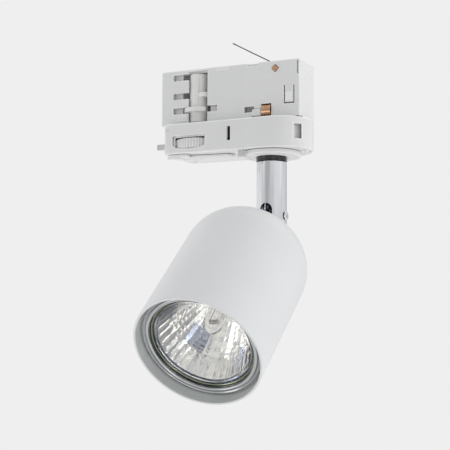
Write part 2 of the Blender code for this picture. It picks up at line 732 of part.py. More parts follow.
def selector(plastic, grey):
    """Drum with three keys on three levels, a quarter turn apart, and the ribbed wheel under it."""
    neck = DRUM_Y - PLATE_BACK - RUN
    profile = [
        (0.0, DRUM_HIGH), (DRUM_RADIUS, DRUM_HIGH), (DRUM_RADIUS, DRUM_NECK_Z),
        (neck, DRUM_NECK_Z), (neck, WHEEL_TOP + GAP), (0.0, WHEEL_TOP + GAP),
    ]
    drum = turned("selector_drum", profile, plastic, ROUND, x=DRUM_X, y=DRUM_Y)
    for level, low in enumerate(KEY_LOWS):
        join(drum, key_mesh(low, 90.0 * level))
    rib = ((0.0, 0.0), (0.5, 0.0), (0.62, RIB_DEPTH), (0.88, RIB_DEPTH))
    outline = []
    for i in range(WHEEL_RIBS):
        for part, depth in rib:
            turn = math.tau * (i + part) / WHEEL_RIBS
            radius = WHEEL_RADIUS - depth
            outline.append((DRUM_X + radius * math.cos(turn), DRUM_Y + radius * math.sin(turn)))
    prism("selector_wheel", outline, WHEEL_LOW, WHEEL_TOP, grey)


def lever(plastic, steel):
    """Lever under the base, and the shaft and lug that it turns into the track's groove."""
    top = BASE_LOW - GAP
    low = top - LEVER_THICK
    front, back = LEVER_SIDES
    outline = [(LEVER_FAR_END, back), (LEVER_FAR_END, front), (LEVER_NEAR_END, front)]
    outline += arc(LEVER_X, LEVER_Y, LEVER_HUB_RADIUS, -110, 90, 14)
    outline.append((LEVER_NEAR_END, back))
    made = prism("lock_lever", outline, low, top, plastic)
    length, width, height = LEVER_GRIP
    join(made, box_mesh(
        (LEVER_FAR_END, front, low - height), (LEVER_FAR_END + length, front + width, low + LEVER_THICK / 2),
    ))
    shaft = disc_profile(SHAFT_RADIUS, BASE_LOW, LUG_LOW - GAP)
    turned("lever_shaft", shaft, steel, SMALL_ROUND, x=LEVER_X, y=LEVER_Y)
    half = LUG_WIDTH / 2
    tip = LEVER_Y + LUG_REACH
    bar = arc(LEVER_X, LEVER_Y, half, 180, 360, 10)
    bar += [(LEVER_X + half, tip), (LEVER_X - half + LUG_CORNER, tip), (LEVER_X - half, tip - LUG_CORNER)]
    prism("lock_lug", bar, LUG_LOW, LUG_HIGH, plastic)


def release_slider(look):
    inside = COVER_LEFT + COVER_WALL + SLIDER_INSIDE
    block(
        "release_slider", (COVER_LEFT - SLIDER_REACH, SLIDER_FRONT, SLIDER_LOW),
        (inside, SLIDER_FRONT + SLIDER_WIDTH, SLIDER_LOW + SLIDER_HEIGHT), look, EDGE_ROUND / 2,
    )


# Stem and tilt joint

def stem(chrome, dark, steel):
    bore = STEM_RADIUS - STEM_WALL
    tube_top = STEM_TOP - GAP
    tube = turned("stem_tube", ring_profile(bore, STEM_RADIUS, STEM_BOTTOM, tube_top), chrome)
    half = STEM_SLOT_WIDTH / 2
    slot = arc(0.0, PIVOT_Z + SLOT_ABOVE_PIVOT - half, half, 0, 180, 12)
    slot += [(-half, STEM_BOTTOM - CUT), (half, STEM_BOTTOM - CUT)]
    past = STEM_RADIUS + CUT
    cut(tube, prism_mesh(slot, -past, 0.0, "Y"))
    cut(tube, prism_mesh(circle(0.0, PIVOT_Z, PIVOT_RADIUS + GAP), -past, past, "X"))

    ring_bore = NIPPLE_RADIUS + GAP
    collar = ring_profile(ring_bore, COLLAR_RADIUS, STEM_TOP, DISC_LOW - GAP, COLLAR_EDGE)
    turned("stem_collar", collar, dark)
    plug = bore - GAP
    plug_low = STEM_TOP - NIPPLE_PLUG
    nipple = [
        (NIPPLE_BORE, NIPPLE_TOP), (NIPPLE_RADIUS, NIPPLE_TOP), (NIPPLE_RADIUS, tube_top),
        (plug, tube_top), (plug, plug_low), (NIPPLE_BORE, plug_low),
    ]
    turned("stem_nipple", nipple, steel)
    hex_nut("nipple_nut", NUT_FLATS, ring_bore, NUT_LOW, NUT_LOW + NUT_THICK, steel)
    washer = ring_profile(ring_bore, WASHER_RADIUS, WASHER_LOW, WASHER_LOW + WASHER_THICK)
    turned("spring_washer", washer, steel)
    stop_high = STOP_LOW + STOP_THICK
    stop = turned("stop_washer", ring_profile(ring_bore, STOP_RADIUS, STOP_LOW, stop_high), steel)
    inner, outer, half = STOP_TAB
    join(stop, box_mesh((-outer, -half, STOP_LOW), (-inner, half, stop_high)))


def laid_along_x(bm):
    """Turns an upright mesh so that its axis lies along X at the pivot's height."""
    lay = Matrix.Translation((0, 0, PIVOT_Z)) @ Matrix.Rotation(math.radians(90), 4, "Y")
    bmesh.ops.transform(bm, matrix=lay, verts=bm.verts)
    return bm


def tilt_joint(chrome, steel):
    """Screw through the stem and the tongue, its nut, and the spacers on both sides of the tongue."""
    seat = STEM_RADIUS + GAP
    cap = seat + SCREW_CAP_THICK
    nut_end = -seat - PIVOT_NUT_THICK
    profile = [
        (0.0, cap), (SCREW_CAP_RADIUS - SCREW_CAP_EDGE, cap), (SCREW_CAP_RADIUS, cap - SCREW_CAP_EDGE),
        (SCREW_CAP_RADIUS, seat), (PIVOT_RADIUS, seat), (PIVOT_RADIUS, nut_end), (0.0, nut_end),
    ]
    screw = finish("pivot_screw", laid_along_x(turned_mesh(profile, SMALL_ROUND)), chrome)
    cut(screw, laid_along_x(rod_mesh(SOCKET_RADIUS, seat + SCREW_CAP_THICK / 2, cap + CUT, 6)))
    nut = finish(
        "pivot_nut", laid_along_x(prism_mesh(hex_outline(PIVOT_NUT_FLATS), nut_end, -seat)), steel
    )
    hole = PIVOT_RADIUS + GAP
    cut(nut, laid_along_x(rod_mesh(hole, nut_end - CUT, CUT - seat)))
    near = TONGUE_THICK / 2 + GAP
    far = math.sqrt((STEM_RADIUS - STEM_WALL) ** 2 - SPACER_RADIUS**2) - CUT / 2
    for side, low, high in (("left", -far, -near), ("right", near, far)):
        spacer = turned_mesh(ring_profile(hole, SPACER_RADIUS, low, high), SMALL_ROUND)
        finish(f"tilt_spacer_{side}", laid_along_x(spacer), steel)


# Head, in the frame of its pivot: the mouth is towards -Z

def dome_points(radius, depth, turns):
    return [(radius * math.sin(turn), DOME_BASE_Z + depth * math.cos(turn)) for turn in turns]


def head_shell(look, parent):
    """Cylinder with a domed back, open at the mouth, with a seat inside for the lamp's ring."""
    steps = 9
    inside = HEAD_INSIDE
    start_out = math.asin(STUD_HOLE / HEAD_RADIUS)
    start_in = math.asin(STUD_HOLE / inside)
    shares = [i / steps for i in range(steps + 1)]
    profile = dome_points(
        HEAD_RADIUS, DOME_DEPTH, [start_out + (math.pi / 2 - start_out) * share for share in shares]
    )
    profile += [(HEAD_RADIUS, RIM_Z + RIM_ROUND), (HEAD_RADIUS - RIM_ROUND, RIM_Z)]
    profile += [(inside + RIM_ROUND, RIM_Z), (inside, RIM_Z + RIM_ROUND)]
    seat_bore = LAMP_RADIUS + SEAT_CLEAR
    seat_high = LAMP_FRONT_Z + SEAT_THICK
    profile += [
        (inside, LAMP_FRONT_Z), (seat_bore, LAMP_FRONT_Z), (seat_bore, seat_high), (inside, seat_high),
    ]
    profile += dome_points(
        inside, DOME_DEPTH - HEAD_WALL, [math.pi / 2 + (start_in - math.pi / 2) * share for share in shares]
    )
    turned("head_shell", profile, look, HEAD_SIDES, parent)


def hinge_tongue(look, parent):
    """Flat tongue on the pivot, with a round foot and a stud through the dome."""
    half = TONGUE_WIDTH / 2
    foot_high = FOOT_Z + TONGUE_FOOT_THICK
    outline = arc(0.0, 0.0, half, 0, 180, 14) + [(-half, FOOT_Z + OVERLAP), (half, FOOT_Z + OVERLAP)]
    made = prism("hinge_tongue", outline, -TONGUE_THICK / 2, TONGUE_THICK / 2, look, "X", parent)
    stud_low = BRACKET_TOP - BRACKET_SHEET - STUD_NUT_THICK - GAP
    foot = [
        (0.0, foot_high), (TONGUE_FOOT - TONGUE_FOOT_EDGE, foot_high),
        (TONGUE_FOOT, foot_high - TONGUE_FOOT_EDGE), (TONGUE_FOOT, FOOT_Z),
        (STUD_RADIUS, FOOT_Z), (STUD_RADIUS, stud_low), (0.0, stud_low),
    ]
    join(made, turned_mesh(foot, ROUND))
    cut(made, prism_mesh(circle(0.0, 0.0, PIVOT_RADIUS + GAP), -TONGUE_THICK, TONGUE_THICK, "X"))


def lamp_mount(steel, ceramic, brass, parent):
    """Nuts, bracket, lampholder and its two contact clips."""
    hex_nut("dome_nut", STUD_NUT_FLATS, STUD_HOLE, BRACKET_TOP + GAP, DOME_INSIDE - OVERLAP, steel, parent)
    sheet_low = BRACKET_TOP - BRACKET_SHEET
    reach = HOLDER_RADIUS + GAP
    outer = reach + BRACKET_SHEET
    foot = HOLDER_HIGH - BRACKET_GRIP
    outline = [
        (-outer, BRACKET_TOP), (-outer, foot), (-reach, foot), (-reach, sheet_low),
        (reach, sheet_low), (reach, foot), (outer, foot), (outer, BRACKET_TOP),
    ]
    half = BRACKET_WIDTH / 2
    bracket = prism("holder_bracket", outline, -half, half, steel, "Y", parent)
    cut(bracket, rod_mesh(STUD_HOLE, sheet_low - CUT, BRACKET_TOP + CUT))
    nut_high = sheet_low - GAP
    hex_nut("bracket_nut", STUD_NUT_FLATS, STUD_HOLE, nut_high - STUD_NUT_THICK, nut_high, steel, parent)
    profile = disc_profile(HOLDER_RADIUS, HOLDER_LOW, HOLDER_HIGH, HOLDER_EDGE)
    holder = turned("lampholder", profile, ceramic, ROUND, parent)
    socket_high = HOLDER_LOW + HOLDER_SOCKET_DEPTH
    clip_low = HOLDER_LOW + PIN_LENGTH + CLIP_ABOVE_PIN
    for side, x in (("left", -PIN_SPACING / 2), ("right", PIN_SPACING / 2)):
        cut(holder, rod_mesh(HOLDER_SOCKET, HOLDER_LOW - CUT, socket_high, SMALL_ROUND, x))
        cut(holder, rod_mesh(LEAD_RADIUS + GAP, socket_high - CUT, HOLDER_HIGH + CUT, TINY_ROUND, x))
        clip = disc_profile(CLIP_RADIUS, clip_low, clip_low + CLIP_THICK)
        turned(f"contact_clip_{side}", clip, brass, SMALL_ROUND, parent, x)


def parabola(neck, mouth, neck_z, mouth_z, steps):
    """(radius, height) points of a paraboloid from its neck to its mouth."""
    points = []
    for i in range(steps + 1):
        share = i / steps
        radius = math.sqrt(neck**2 + (mouth**2 - neck**2) * share)
        points.append((radius, neck_z + (mouth_z - neck_z) * share))
    return points


def lamp(glass, mirror, ceramic, steel, parent):
    """Reflector lamp: ceramic base and pins, bowl, cover glass and burner capsule."""
    front = LAMP_FRONT_Z
    seat = front + GLASS_SEAT
    bore = LAMP_RADIUS - LAMP_WALL
    profile = parabola(LAMP_BASE_RADIUS + OVERLAP, LAMP_RADIUS - OVERLAP, NECK_Z, front + LAMP_RIM, 5)
    profile += [(LAMP_RADIUS, front + LAMP_RIM), (LAMP_RADIUS, front), (bore, front), (bore, seat)]
    inner = parabola(LAMP_NECK, bore - LAMP_WALL / 2, NECK_Z - LAMP_WALL, seat, 6)
    profile += inner[::-1] + [(LAMP_NECK, NECK_Z)]
    turned("lamp_reflector", profile, mirror, HEAD_SIDES, parent)
    pane = disc_profile(bore - GAP, front + GAP, seat - GAP, GAP)
    turned("lamp_glass", pane, glass, HEAD_SIDES, parent)
    base = disc_profile(LAMP_BASE_RADIUS, NECK_Z + GAP, LAMP_BACK_Z, EDGE_ROUND)
    turned("lamp_base", base, ceramic, ROUND, parent)

    radius = CAPSULE_RADIUS
    tip = front + CAPSULE_DEPTH
    capsule_top = NECK_Z - OVERLAP
    capsule = [(0.0, capsule_top), (radius, capsule_top)]
    capsule += [(x, tip + radius + z) for x, z in arc(0.0, 0.0, radius, 0, -75, 5)]
    capsule.append((0.0, tip))
    turned("lamp_capsule", capsule, glass, SMALL_ROUND, parent)
    root = LAMP_BACK_Z + GAP
    pin_tip = root + PIN_LENGTH
    head_low = pin_tip - PIN_HEAD_LENGTH
    pin = [
        (0.0, pin_tip), (PIN_HEAD_RADIUS, pin_tip), (PIN_HEAD_RADIUS, head_low),
        (PIN_RADIUS, head_low), (PIN_RADIUS, root), (0.0, root),
    ]
    for side, x in (("left", -PIN_SPACING / 2), ("right", PIN_SPACING / 2)):
        turned(f"lamp_pin_{side}", pin, steel, TINY_ROUND, parent, x)


def retaining_ring(look, parent):
    high = LAMP_FRONT_Z - GAP
    profile = ring_profile(LAMP_RADIUS - RING_LAP, HEAD_INSIDE - RING_CLEAR, high - RING_THICK, high)
    turned("retaining_ring", profile, look, HEAD_SIDES, parent)


def leads(live, neutral, pivot):
    """Two leads in three stretches: in the adapter, down the stem, and in the head."""
    for name, side, look in (("live", 1.0, live), ("neutral", -1.0, neutral)):
        x = side * LEAD_SPACING
        in_nipple = NIPPLE_TOP + GAP * 4
        drop = BLOCK_LOW[2] - GAP - in_nipple
        lead(f"adapter_lead_{name}", [
            (x * 2 - mm(3.0), 0.0, BLOCK_LOW[2] - GAP), (x * 2 - mm(2.6), 0.0, in_nipple + drop * 0.78),
            (x * 1.4 - mm(0.6), 0.0, in_nipple + drop * 0.5), (x, 0.0, in_nipple + drop * 0.24),
            (x, 0.0, in_nipple),
        ], look)
        down_to = PIVOT_Z + SLOT_ABOVE_PIVOT - GAP * 2
        lead(f"stem_lead_{name}", [(x, 0.0, in_nipple - GAP * 2), (x, 0.0, down_to)], look)
        pin_x = side * PIN_SPACING / 2
        top = HOLDER_HIGH
        lead(f"head_lead_{name}", [
            (pin_x, 0.0, top - mm(5.0)), (pin_x, 0.0, top + mm(1.2)), (pin_x, mm(3.6), top + mm(2.6)),
            (pin_x - side * mm(0.4), mm(6.8), top + mm(4.6)),
            (pin_x - side * mm(1.0), mm(7.2), top + mm(8.4)),
        ], look, pivot)


def build():
    clear_scene()
    white = material("white_plastic", (0.86, 0.86, 0.86), 0.45)
    grey = material("grey_plastic", (0.72, 0.72, 0.72), 0.5)
    paint = material("white_paint", (0.88, 0.88, 0.88), 0.4)
    chrome = material("chrome", (0.82, 0.82, 0.84), 0.08, 1.0)
    dark = material("dark_chrome", (0.25, 0.24, 0.24), 0.15, 1.0)
    steel = material("steel", (0.55, 0.55, 0.56), 0.35, 1.0)
    copper = material("copper", (0.72, 0.42, 0.28), 0.3, 1.0)
    brass = material("brass", (0.78, 0.6, 0.3), 0.3, 1.0)
    ceramic = material("ceramic", (0.9, 0.88, 0.84), 0.5)
    glass = material("clear_glass", (0.95, 0.97, 0.96), 0.03, 0.0, 1.0)
    mirror = material("reflector", (0.75, 0.76, 0.78), 0.1, 1.0)
    live = material("live_lead", (0.35, 0.2, 0.12), 0.5)
    neutral = material("neutral_lead", (0.12, 0.25, 0.6), 0.5)

    track_housing(white)
    front_plate(white)
    cover(white)
    base_plate(white)
    swivel_bush(grey)
    swivel_disc(white)
    base_catch(grey)
    contacts(copper, white)
    earth_spring(steel)
    terminal_block(grey)
    base_screws(steel)
    selector(white, grey)
    lever(white, steel)
    release_slider(grey)
    stem(chrome, dark, steel)
    tilt_joint(chrome, steel)

    pivot = bpy.data.objects.new("head_pivot", None)
    pivot.location = (0.0, 0.0, PIVOT_Z)
    pivot.rotation_euler = (-HEAD_TILT, 0.0, 0.0)
    bpy.context.scene.collection.objects.link(pivot)
    head_shell(paint, pivot)
    hinge_tongue(chrome, pivot)
    lamp_mount(steel, ceramic, brass, pivot)
    lamp(glass, mirror, ceramic, steel, pivot)
    retaining_ring(chrome, pivot)
    leads(live, neutral, pivot)


build()
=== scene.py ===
import json
import math
import random

import bmesh
import bpy
from mathutils import Matrix, Vector


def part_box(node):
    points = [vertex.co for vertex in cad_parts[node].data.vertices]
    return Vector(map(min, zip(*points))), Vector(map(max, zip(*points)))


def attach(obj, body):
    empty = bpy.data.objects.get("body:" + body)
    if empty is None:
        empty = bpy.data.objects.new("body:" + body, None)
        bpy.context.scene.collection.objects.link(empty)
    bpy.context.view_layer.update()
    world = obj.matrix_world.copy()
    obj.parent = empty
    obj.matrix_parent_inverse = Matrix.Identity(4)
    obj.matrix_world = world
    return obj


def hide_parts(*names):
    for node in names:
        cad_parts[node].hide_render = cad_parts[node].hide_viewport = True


# Track spotlight: white three-circuit adapter, chrome stem, white tilting head with a reflector lamp.
# Metres, +Z up, X along the track, the head faces -Y.

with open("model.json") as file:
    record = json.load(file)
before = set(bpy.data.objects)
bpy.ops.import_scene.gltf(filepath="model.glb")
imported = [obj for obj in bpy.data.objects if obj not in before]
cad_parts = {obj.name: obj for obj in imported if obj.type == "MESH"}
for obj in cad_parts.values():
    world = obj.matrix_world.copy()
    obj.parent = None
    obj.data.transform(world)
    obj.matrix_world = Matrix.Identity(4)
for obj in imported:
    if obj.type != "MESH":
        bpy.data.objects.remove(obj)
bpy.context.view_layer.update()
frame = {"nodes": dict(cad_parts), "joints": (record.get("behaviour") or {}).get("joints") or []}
mm = 0.001
pastFace = 1.0 * mm      # how far a cutting shape passes the face it cuts

tilt = next(joint for joint in frame["joints"] if joint["name"] == "head_tilt")
pivot = Vector(tilt["pos_m"])
hangingToRest = math.radians(-tilt["range_deg"][0])
headPlace = Matrix.Translation(pivot) @ Matrix.Rotation(-hangingToRest, 4, "X")   # mouth towards its -Z


def arcPoints(x, y, radius, start, end, steps):
    turns = [math.radians(start + (end - start) * i / steps) for i in range(steps + 1)]
    return [(x + radius * math.cos(turn), y + radius * math.sin(turn)) for turn in turns]


def rounded(corners, steps=5):
    # closed outline of (a, b, radius of the corner), each corner as a true arc
    points = []
    for i, (a, b, radius) in enumerate(corners):
        here = Vector((a, b))
        before = Vector(corners[i - 1][:2]) - here
        after = Vector(corners[(i + 1) % len(corners)][:2]) - here
        angle = before.angle(after)
        if radius <= 0 or angle > math.radians(178):
            points.append((a, b))
            continue
        reach = min(radius / math.tan(angle / 2), 0.49 * before.length, 0.49 * after.length)
        start = here + before.normalized() * reach
        middle = (before.normalized() + after.normalized()).normalized()
        centre = here + middle * (reach / math.cos(angle / 2))
        arm = start - centre
        side = 1.0 if before.cross(after) < 0 else -1.0
        turn = (math.pi - angle) * side
        for step in range(steps + 1):
            part = turn * step / steps
            points.append((
                centre.x + arm.x * math.cos(part) - arm.y * math.sin(part),
                centre.y + arm.x * math.sin(part) + arm.y * math.cos(part),
            ))
    return points


def box4(left, right, low, high, radius=0.0):
    return rounded([(left, low, radius), (right, low, radius), (right, high, radius), (left, high, radius)])


def extruded(outline, low, high, axis="Z"):
    place = {
        "Z": lambda a, b, c: (a, b, c),
        "Y": lambda a, b, c: (a, c, b),
        "X": lambda a, b, c: (c, a, b),
    }[axis]
    bm = bmesh.new()
    face = bm.faces.new([bm.verts.new(place(a, b, low)) for a, b in outline])
    grown = bmesh.ops.extrude_face_region(bm, geom=[face])
    moved = [item for item in grown["geom"] if isinstance(item, bmesh.types.BMVert)]
    bmesh.ops.translate(bm, verts=moved, vec=place(0.0, 0.0, high - low))
    bmesh.ops.recalc_face_normals(bm, faces=bm.faces)
    return bm


def block(low, high):
    return extruded(box4(low[0], high[0], low[1], high[1]), low[2], high[2])


def inMm(values):
    return [value * mm for value in values]


def middleOf(name):
    low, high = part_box(name)
    return (low + high) / 2


def rimRounded(bm, height, radius, steps=4):
    # rounds the outer edges that lie at one height
    rim = [
        edge for edge in bm.edges
        if all(abs(vert.co.z - height) < 1e-7 for vert in edge.verts)
    ]
    bmesh.ops.bevel(bm, geom=rim, offset=radius, segments=steps, profile=0.5, affect="EDGES")
    return bm


def spun(profile, sides=96, x=0.0, y=0.0):
    # closed profile of (radius, height), turned about an upright axis
    bm = bmesh.new()
    verts = [bm.verts.new((radius, 0.0, height)) for radius, height in profile]
    edges = [
        bm.edges.new((verts[i - 1], verts[i]))
        for i in range(len(verts)) if profile[i - 1][0] > 0 or profile[i][0] > 0
    ]
    bmesh.ops.spin(
        bm, geom=verts + edges, cent=(0, 0, 0), axis=(0, 0, 1), angle=math.tau,
        steps=sides, use_merge=True, use_duplicate=False,
    )
    bmesh.ops.remove_doubles(bm, verts=bm.verts, dist=1e-6)
    bmesh.ops.translate(bm, verts=bm.verts, vec=(x, y, 0.0))
    bmesh.ops.recalc_face_normals(bm, faces=bm.faces)
    return bm


def rod(radius, low, high, sides=32, x=0.0, y=0.0):
    return spun([(0.0, high), (radius, high), (radius, low), (0.0, low)], sides, x, y)


def smoothLine(points, steps=6):
    # a smooth curve through the points
    ends = [points[0], *points, points[-1]]
    line = []
    for a, b, c, d in zip(ends, ends[1:], ends[2:], ends[3:]):
        a, b, c, d = Vector(a), Vector(b), Vector(c), Vector(d)
        for step in range(steps):
            t = step / steps
            line.append(0.5 * (2 * b + (c - a) * t + (2 * a - 5 * b + 4 * c - d) * t**2
                               + (3 * b - a - 3 * c + d) * t**3))
    line.append(Vector(points[-1]))
    return line


def strip(points, thick, steps=6):
    # a bent sheet seen from its edge
    line = smoothLine(points, steps)
    near, far = [], []
    for i, point in enumerate(line):
        along = line[min(i + 1, len(line) - 1)] - line[max(i - 1, 0)]
        across = Vector((-along.y, along.x)).normalized() * thick / 2
        near.append(tuple(point + across))
        far.append(tuple(point - across))
    return near + far[::-1]


def pieceFrom(name, bm, finish, sharp=32):
    mesh = bpy.data.meshes.new(name)
    bm.to_mesh(mesh)
    bm.free()
    mesh.shade_smooth()
    mesh.set_sharp_from_angle(angle=math.radians(sharp))
    piece = bpy.data.objects.new(name, mesh)
    bpy.context.scene.collection.objects.link(piece)
    if finish:
        mesh.materials.append(finish)
    return piece


def applied(piece):
    graph = bpy.context.evaluated_depsgraph_get()
    mesh = bpy.data.meshes.new_from_object(piece.evaluated_get(graph))
    piece.modifiers.clear()
    old = piece.data
    piece.data = mesh
    bpy.data.meshes.remove(old)
    mesh.name = piece.name
    return piece


def shaped(piece, tools, operation="DIFFERENCE"):
    # cuts the tools out of a piece, or joins them on
    for tool in tools:
        helper = pieceFrom("tool", tool, None)
        change = piece.modifiers.new("shape", "BOOLEAN")
        change.operation = operation
        change.solver = "EXACT"
        change.object = helper
        applied(piece)
        bpy.data.objects.remove(helper)
    return piece


def softEdges(piece, width, steps=3, angle=38):
    change = piece.modifiers.new("edges", "BEVEL")
    change.width = width
    change.segments = steps
    change.limit_method = "ANGLE"
    change.angle_limit = math.radians(angle)
    change.use_clamp_overlap = True
    change.harden_normals = True
    return applied(piece)


def settled(piece, body, slotName, *nodes, place=None):
    # puts a finished piece on its body, and hides the nodes that it stands for
    if place:
        piece.data.transform(place)
    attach(piece, body)
    if nodes:
        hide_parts(*nodes)
    return piece


def headBox(name):
    # lowest and highest corner of a node in the head's own frame
    back = headPlace.inverted()
    points = [back @ vert.co for vert in frame["nodes"][name].data.vertices]
    lows = Vector([min(point[i] for point in points) for i in range(3)])
    highs = Vector([max(point[i] for point in points) for i in range(3)])
    return lows, highs


def newGroup(name, inputs, outputs):
    # an empty shader group with its sockets, shared by the materials
    group = bpy.data.node_groups.new(name, "ShaderNodeTree")
    for label, value in inputs.items():
        socket = group.interface.new_socket(name=label, in_out="INPUT", socket_type="NodeSocketFloat")
        socket.default_value = value
    for label in outputs:
        group.interface.new_socket(name=label, in_out="OUTPUT", socket_type="NodeSocketFloat")
    given = group.nodes.new("NodeGroupInput")
    result = group.nodes.new("NodeGroupOutput")
    return group, given.outputs, result.inputs


def feed(tree, socket, value):
    if isinstance(value, bpy.types.NodeSocket):
        tree.links.new(value, socket)
    else:
        socket.default_value = value


def sums(tree, operation, first, second=0.0, clamp=False):
    node = tree.nodes.new("ShaderNodeMath")
    node.operation = operation
    node.use_clamp = clamp
    feed(tree, node.inputs[0], first)
    feed(tree, node.inputs[1], second)
    return node.outputs[0]


def noise(tree, scale, detail=3.0, stretch=None):
    place = tree.nodes.new("ShaderNodeTexCoord").outputs["Object"]
    if stretch:
        mapping = tree.nodes.new("ShaderNodeMapping")
        mapping.inputs["Scale"].default_value = stretch
        tree.links.new(place, mapping.inputs["Vector"])
        place = mapping.outputs["Vector"]
    node = tree.nodes.new("ShaderNodeTexNoise")
    node.inputs["Detail"].default_value = detail
    tree.links.new(place, node.inputs["Vector"])
    feed(tree, node.inputs["Scale"], scale)
    return node.outputs["Fac"]


def ranged(tree, value, fromLow, fromHigh, toLow, toHigh):
    node = tree.nodes.new("ShaderNodeMapRange")
    for socket, given in zip(node.inputs[:5], (value, fromLow, fromHigh, toLow, toHigh)):
        feed(tree, socket, given)
    return node.outputs["Result"]


def blended(tree, amount, first, second):
    # a mix of two colours
    node = tree.nodes.new("ShaderNodeMix")
    node.data_type = "RGBA"
    feed(tree, node.inputs[0], amount)
    feed(tree, node.inputs[6], first if isinstance(first, bpy.types.NodeSocket) else (*first, 1.0))
    feed(tree, node.inputs[7], second if isinstance(second, bpy.types.NodeSocket) else (*second, 1.0))
    return node.outputs[2]


def grainGroup():
    # fine moulded or sprayed texture: a cell pattern softened by noise
    group, given, result = newGroup("surfaceGrain", {"Grain": 1500.0, "Cells": 0.4}, ["Height"])
    cells = group.nodes.new("ShaderNodeTexVoronoi")
    place = group.nodes.new("ShaderNodeTexCoord")
    group.links.new(place.outputs["Object"], cells.inputs["Vector"])
    group.links.new(given["Grain"], cells.inputs["Scale"])
    share = sums(group, "MULTIPLY", cells.outputs["Distance"], given["Cells"])
    group.links.new(sums(group, "ADD", noise(group, given["Grain"], 2.0), share), result["Height"])
    return group


def edgeGroup():
    # where edges are rubbed, and on the white plastic a painted highlight along the edges: the angle between
    # the face and its rounded neighbourhood
    inputs = {"Width": 0.3 * mm, "Amount": 0.5, "Patches": 300.0, "Breaks": 0.42}
    group, given, result = newGroup("edgeRubAndPaintedHighlight", inputs, ["Mask"])
    soft = group.nodes.new("ShaderNodeBevel")
    soft.samples = 4
    group.links.new(given["Width"], soft.inputs["Radius"])
    faces = group.nodes.new("ShaderNodeNewGeometry")
    across = group.nodes.new("ShaderNodeVectorMath")
    across.operation = "DOT_PRODUCT"
    group.links.new(soft.outputs["Normal"], across.inputs[0])
    group.links.new(faces.outputs["Normal"], across.inputs[1])
    bent = ranged(group, across.outputs["Value"], 0.999, 0.94, 0.0, 1.0)
    broken = ranged(group, noise(group, given["Patches"], 4.0), given["Breaks"], 0.62, 0.0, 1.0)
    worn = sums(group, "MULTIPLY", sums(group, "MULTIPLY", bent, broken), given["Amount"], True)
    group.links.new(worn, result["Mask"])
    return group


def dustGroup():
    # dust lies on what faces up, in soft patches
    group, given, result = newGroup("settledDust", {"Amount": 0.2, "Patches": 90.0}, ["Mask"])
    faces = group.nodes.new("ShaderNodeNewGeometry")
    parts = group.nodes.new("ShaderNodeSeparateXYZ")
    group.links.new(faces.outputs["Normal"], parts.inputs[0])
    up = ranged(group, parts.outputs["Z"], 0.25, 1.0, 0.0, 1.0)
    patches = ranged(group, noise(group, given["Patches"], 5.0), 0.35, 0.7, 0.35, 1.0)
    lying = sums(group, "MULTIPLY", sums(group, "MULTIPLY", up, patches), given["Amount"], True)
    group.links.new(lying, result["Mask"])
    return group


def smudgeGroup():
    # faint prints and wiping marks, as a broad mask and a fine one
    group, given, result = newGroup("handling", {"Patches": 60.0, "Streaks": 220.0}, ["Broad", "Fine"])
    group.links.new(ranged(group, noise(group, given["Patches"], 3.0), 0.3, 0.7, 0.0, 1.0), result["Broad"])
    fine = noise(group, given["Streaks"], 5.0, (1.0, 1.0, 0.12))
    group.links.new(ranged(group, fine, 0.35, 0.65, 0.0, 1.0), result["Fine"])
    return group


groups = {"grain": grainGroup(), "edge": edgeGroup(), "dust": dustGroup(), "handling": smudgeGroup()}


def placed(tree, name, **values):
    node = tree.nodes.new("ShaderNodeGroup")
    node.node_tree = groups[name]
    for label, value in values.items():
        node.inputs[label].default_value = value
    return node.outputs


def bumped(tree, shader, height, strength, depth):
    bump = tree.nodes.new("ShaderNodeBump")
    bump.inputs["Strength"].default_value = strength
    bump.inputs["Distance"].default_value = depth
    tree.links.new(height, bump.inputs["Height"])
    tree.links.new(bump.outputs["Normal"], shader.inputs["Normal"])


def surface(name, look):
    # one finish: colour that varies a little, roughness from handling, grain, worn edges and painted edge
    # highlights, and dust
    made = bpy.data.materials.new(name)
    made.use_nodes = True
    tree = made.node_tree
    shader = tree.nodes["Principled BSDF"]
    for label, value in look.get("sockets", {}).items():
        shader.inputs[label].default_value = value
    handling = placed(
        tree, "handling", Patches=look.get("patches", 60.0), Streaks=look.get("streaks", 220.0),
    )
    edge = placed(
        tree, "edge", Width=look.get("edgeWidth", 0.3 * mm), Amount=look.get("edge", 0.3),
        Patches=look.get("edgePatches", 350.0), Breaks=look.get("edgeBreaks", 0.42),
    )
    dust = placed(tree, "dust", Amount=look.get("dust", 0.1), Patches=90.0)
    colour = blended(tree, handling["Broad"], look["colour"], look["shade"])
    # the edge colour: wear on most finishes, a painted highlight along the edges of the white plastic
    colour = blended(tree, edge["Mask"], colour, look["edgeRubAndHighlightColour"])
    colour = blended(tree, dust["Mask"], colour, (0.62, 0.60, 0.57))
    tree.links.new(colour, shader.inputs["Base Color"])
    rough = ranged(tree, handling["Fine"], 0.0, 1.0, *look["roughness"])
    rough = sums(tree, "ADD", rough, sums(tree, "MULTIPLY", dust["Mask"], 0.5), True)
    tree.links.new(rough, shader.inputs["Roughness"])
    grain = placed(tree, "grain", Grain=look.get("grain", 1500.0), Cells=look.get("cells", 0.4))
    bumped(tree, shader, grain["Height"], look.get("bump", 0.25), look.get("depth", 0.02 * mm))
    return made


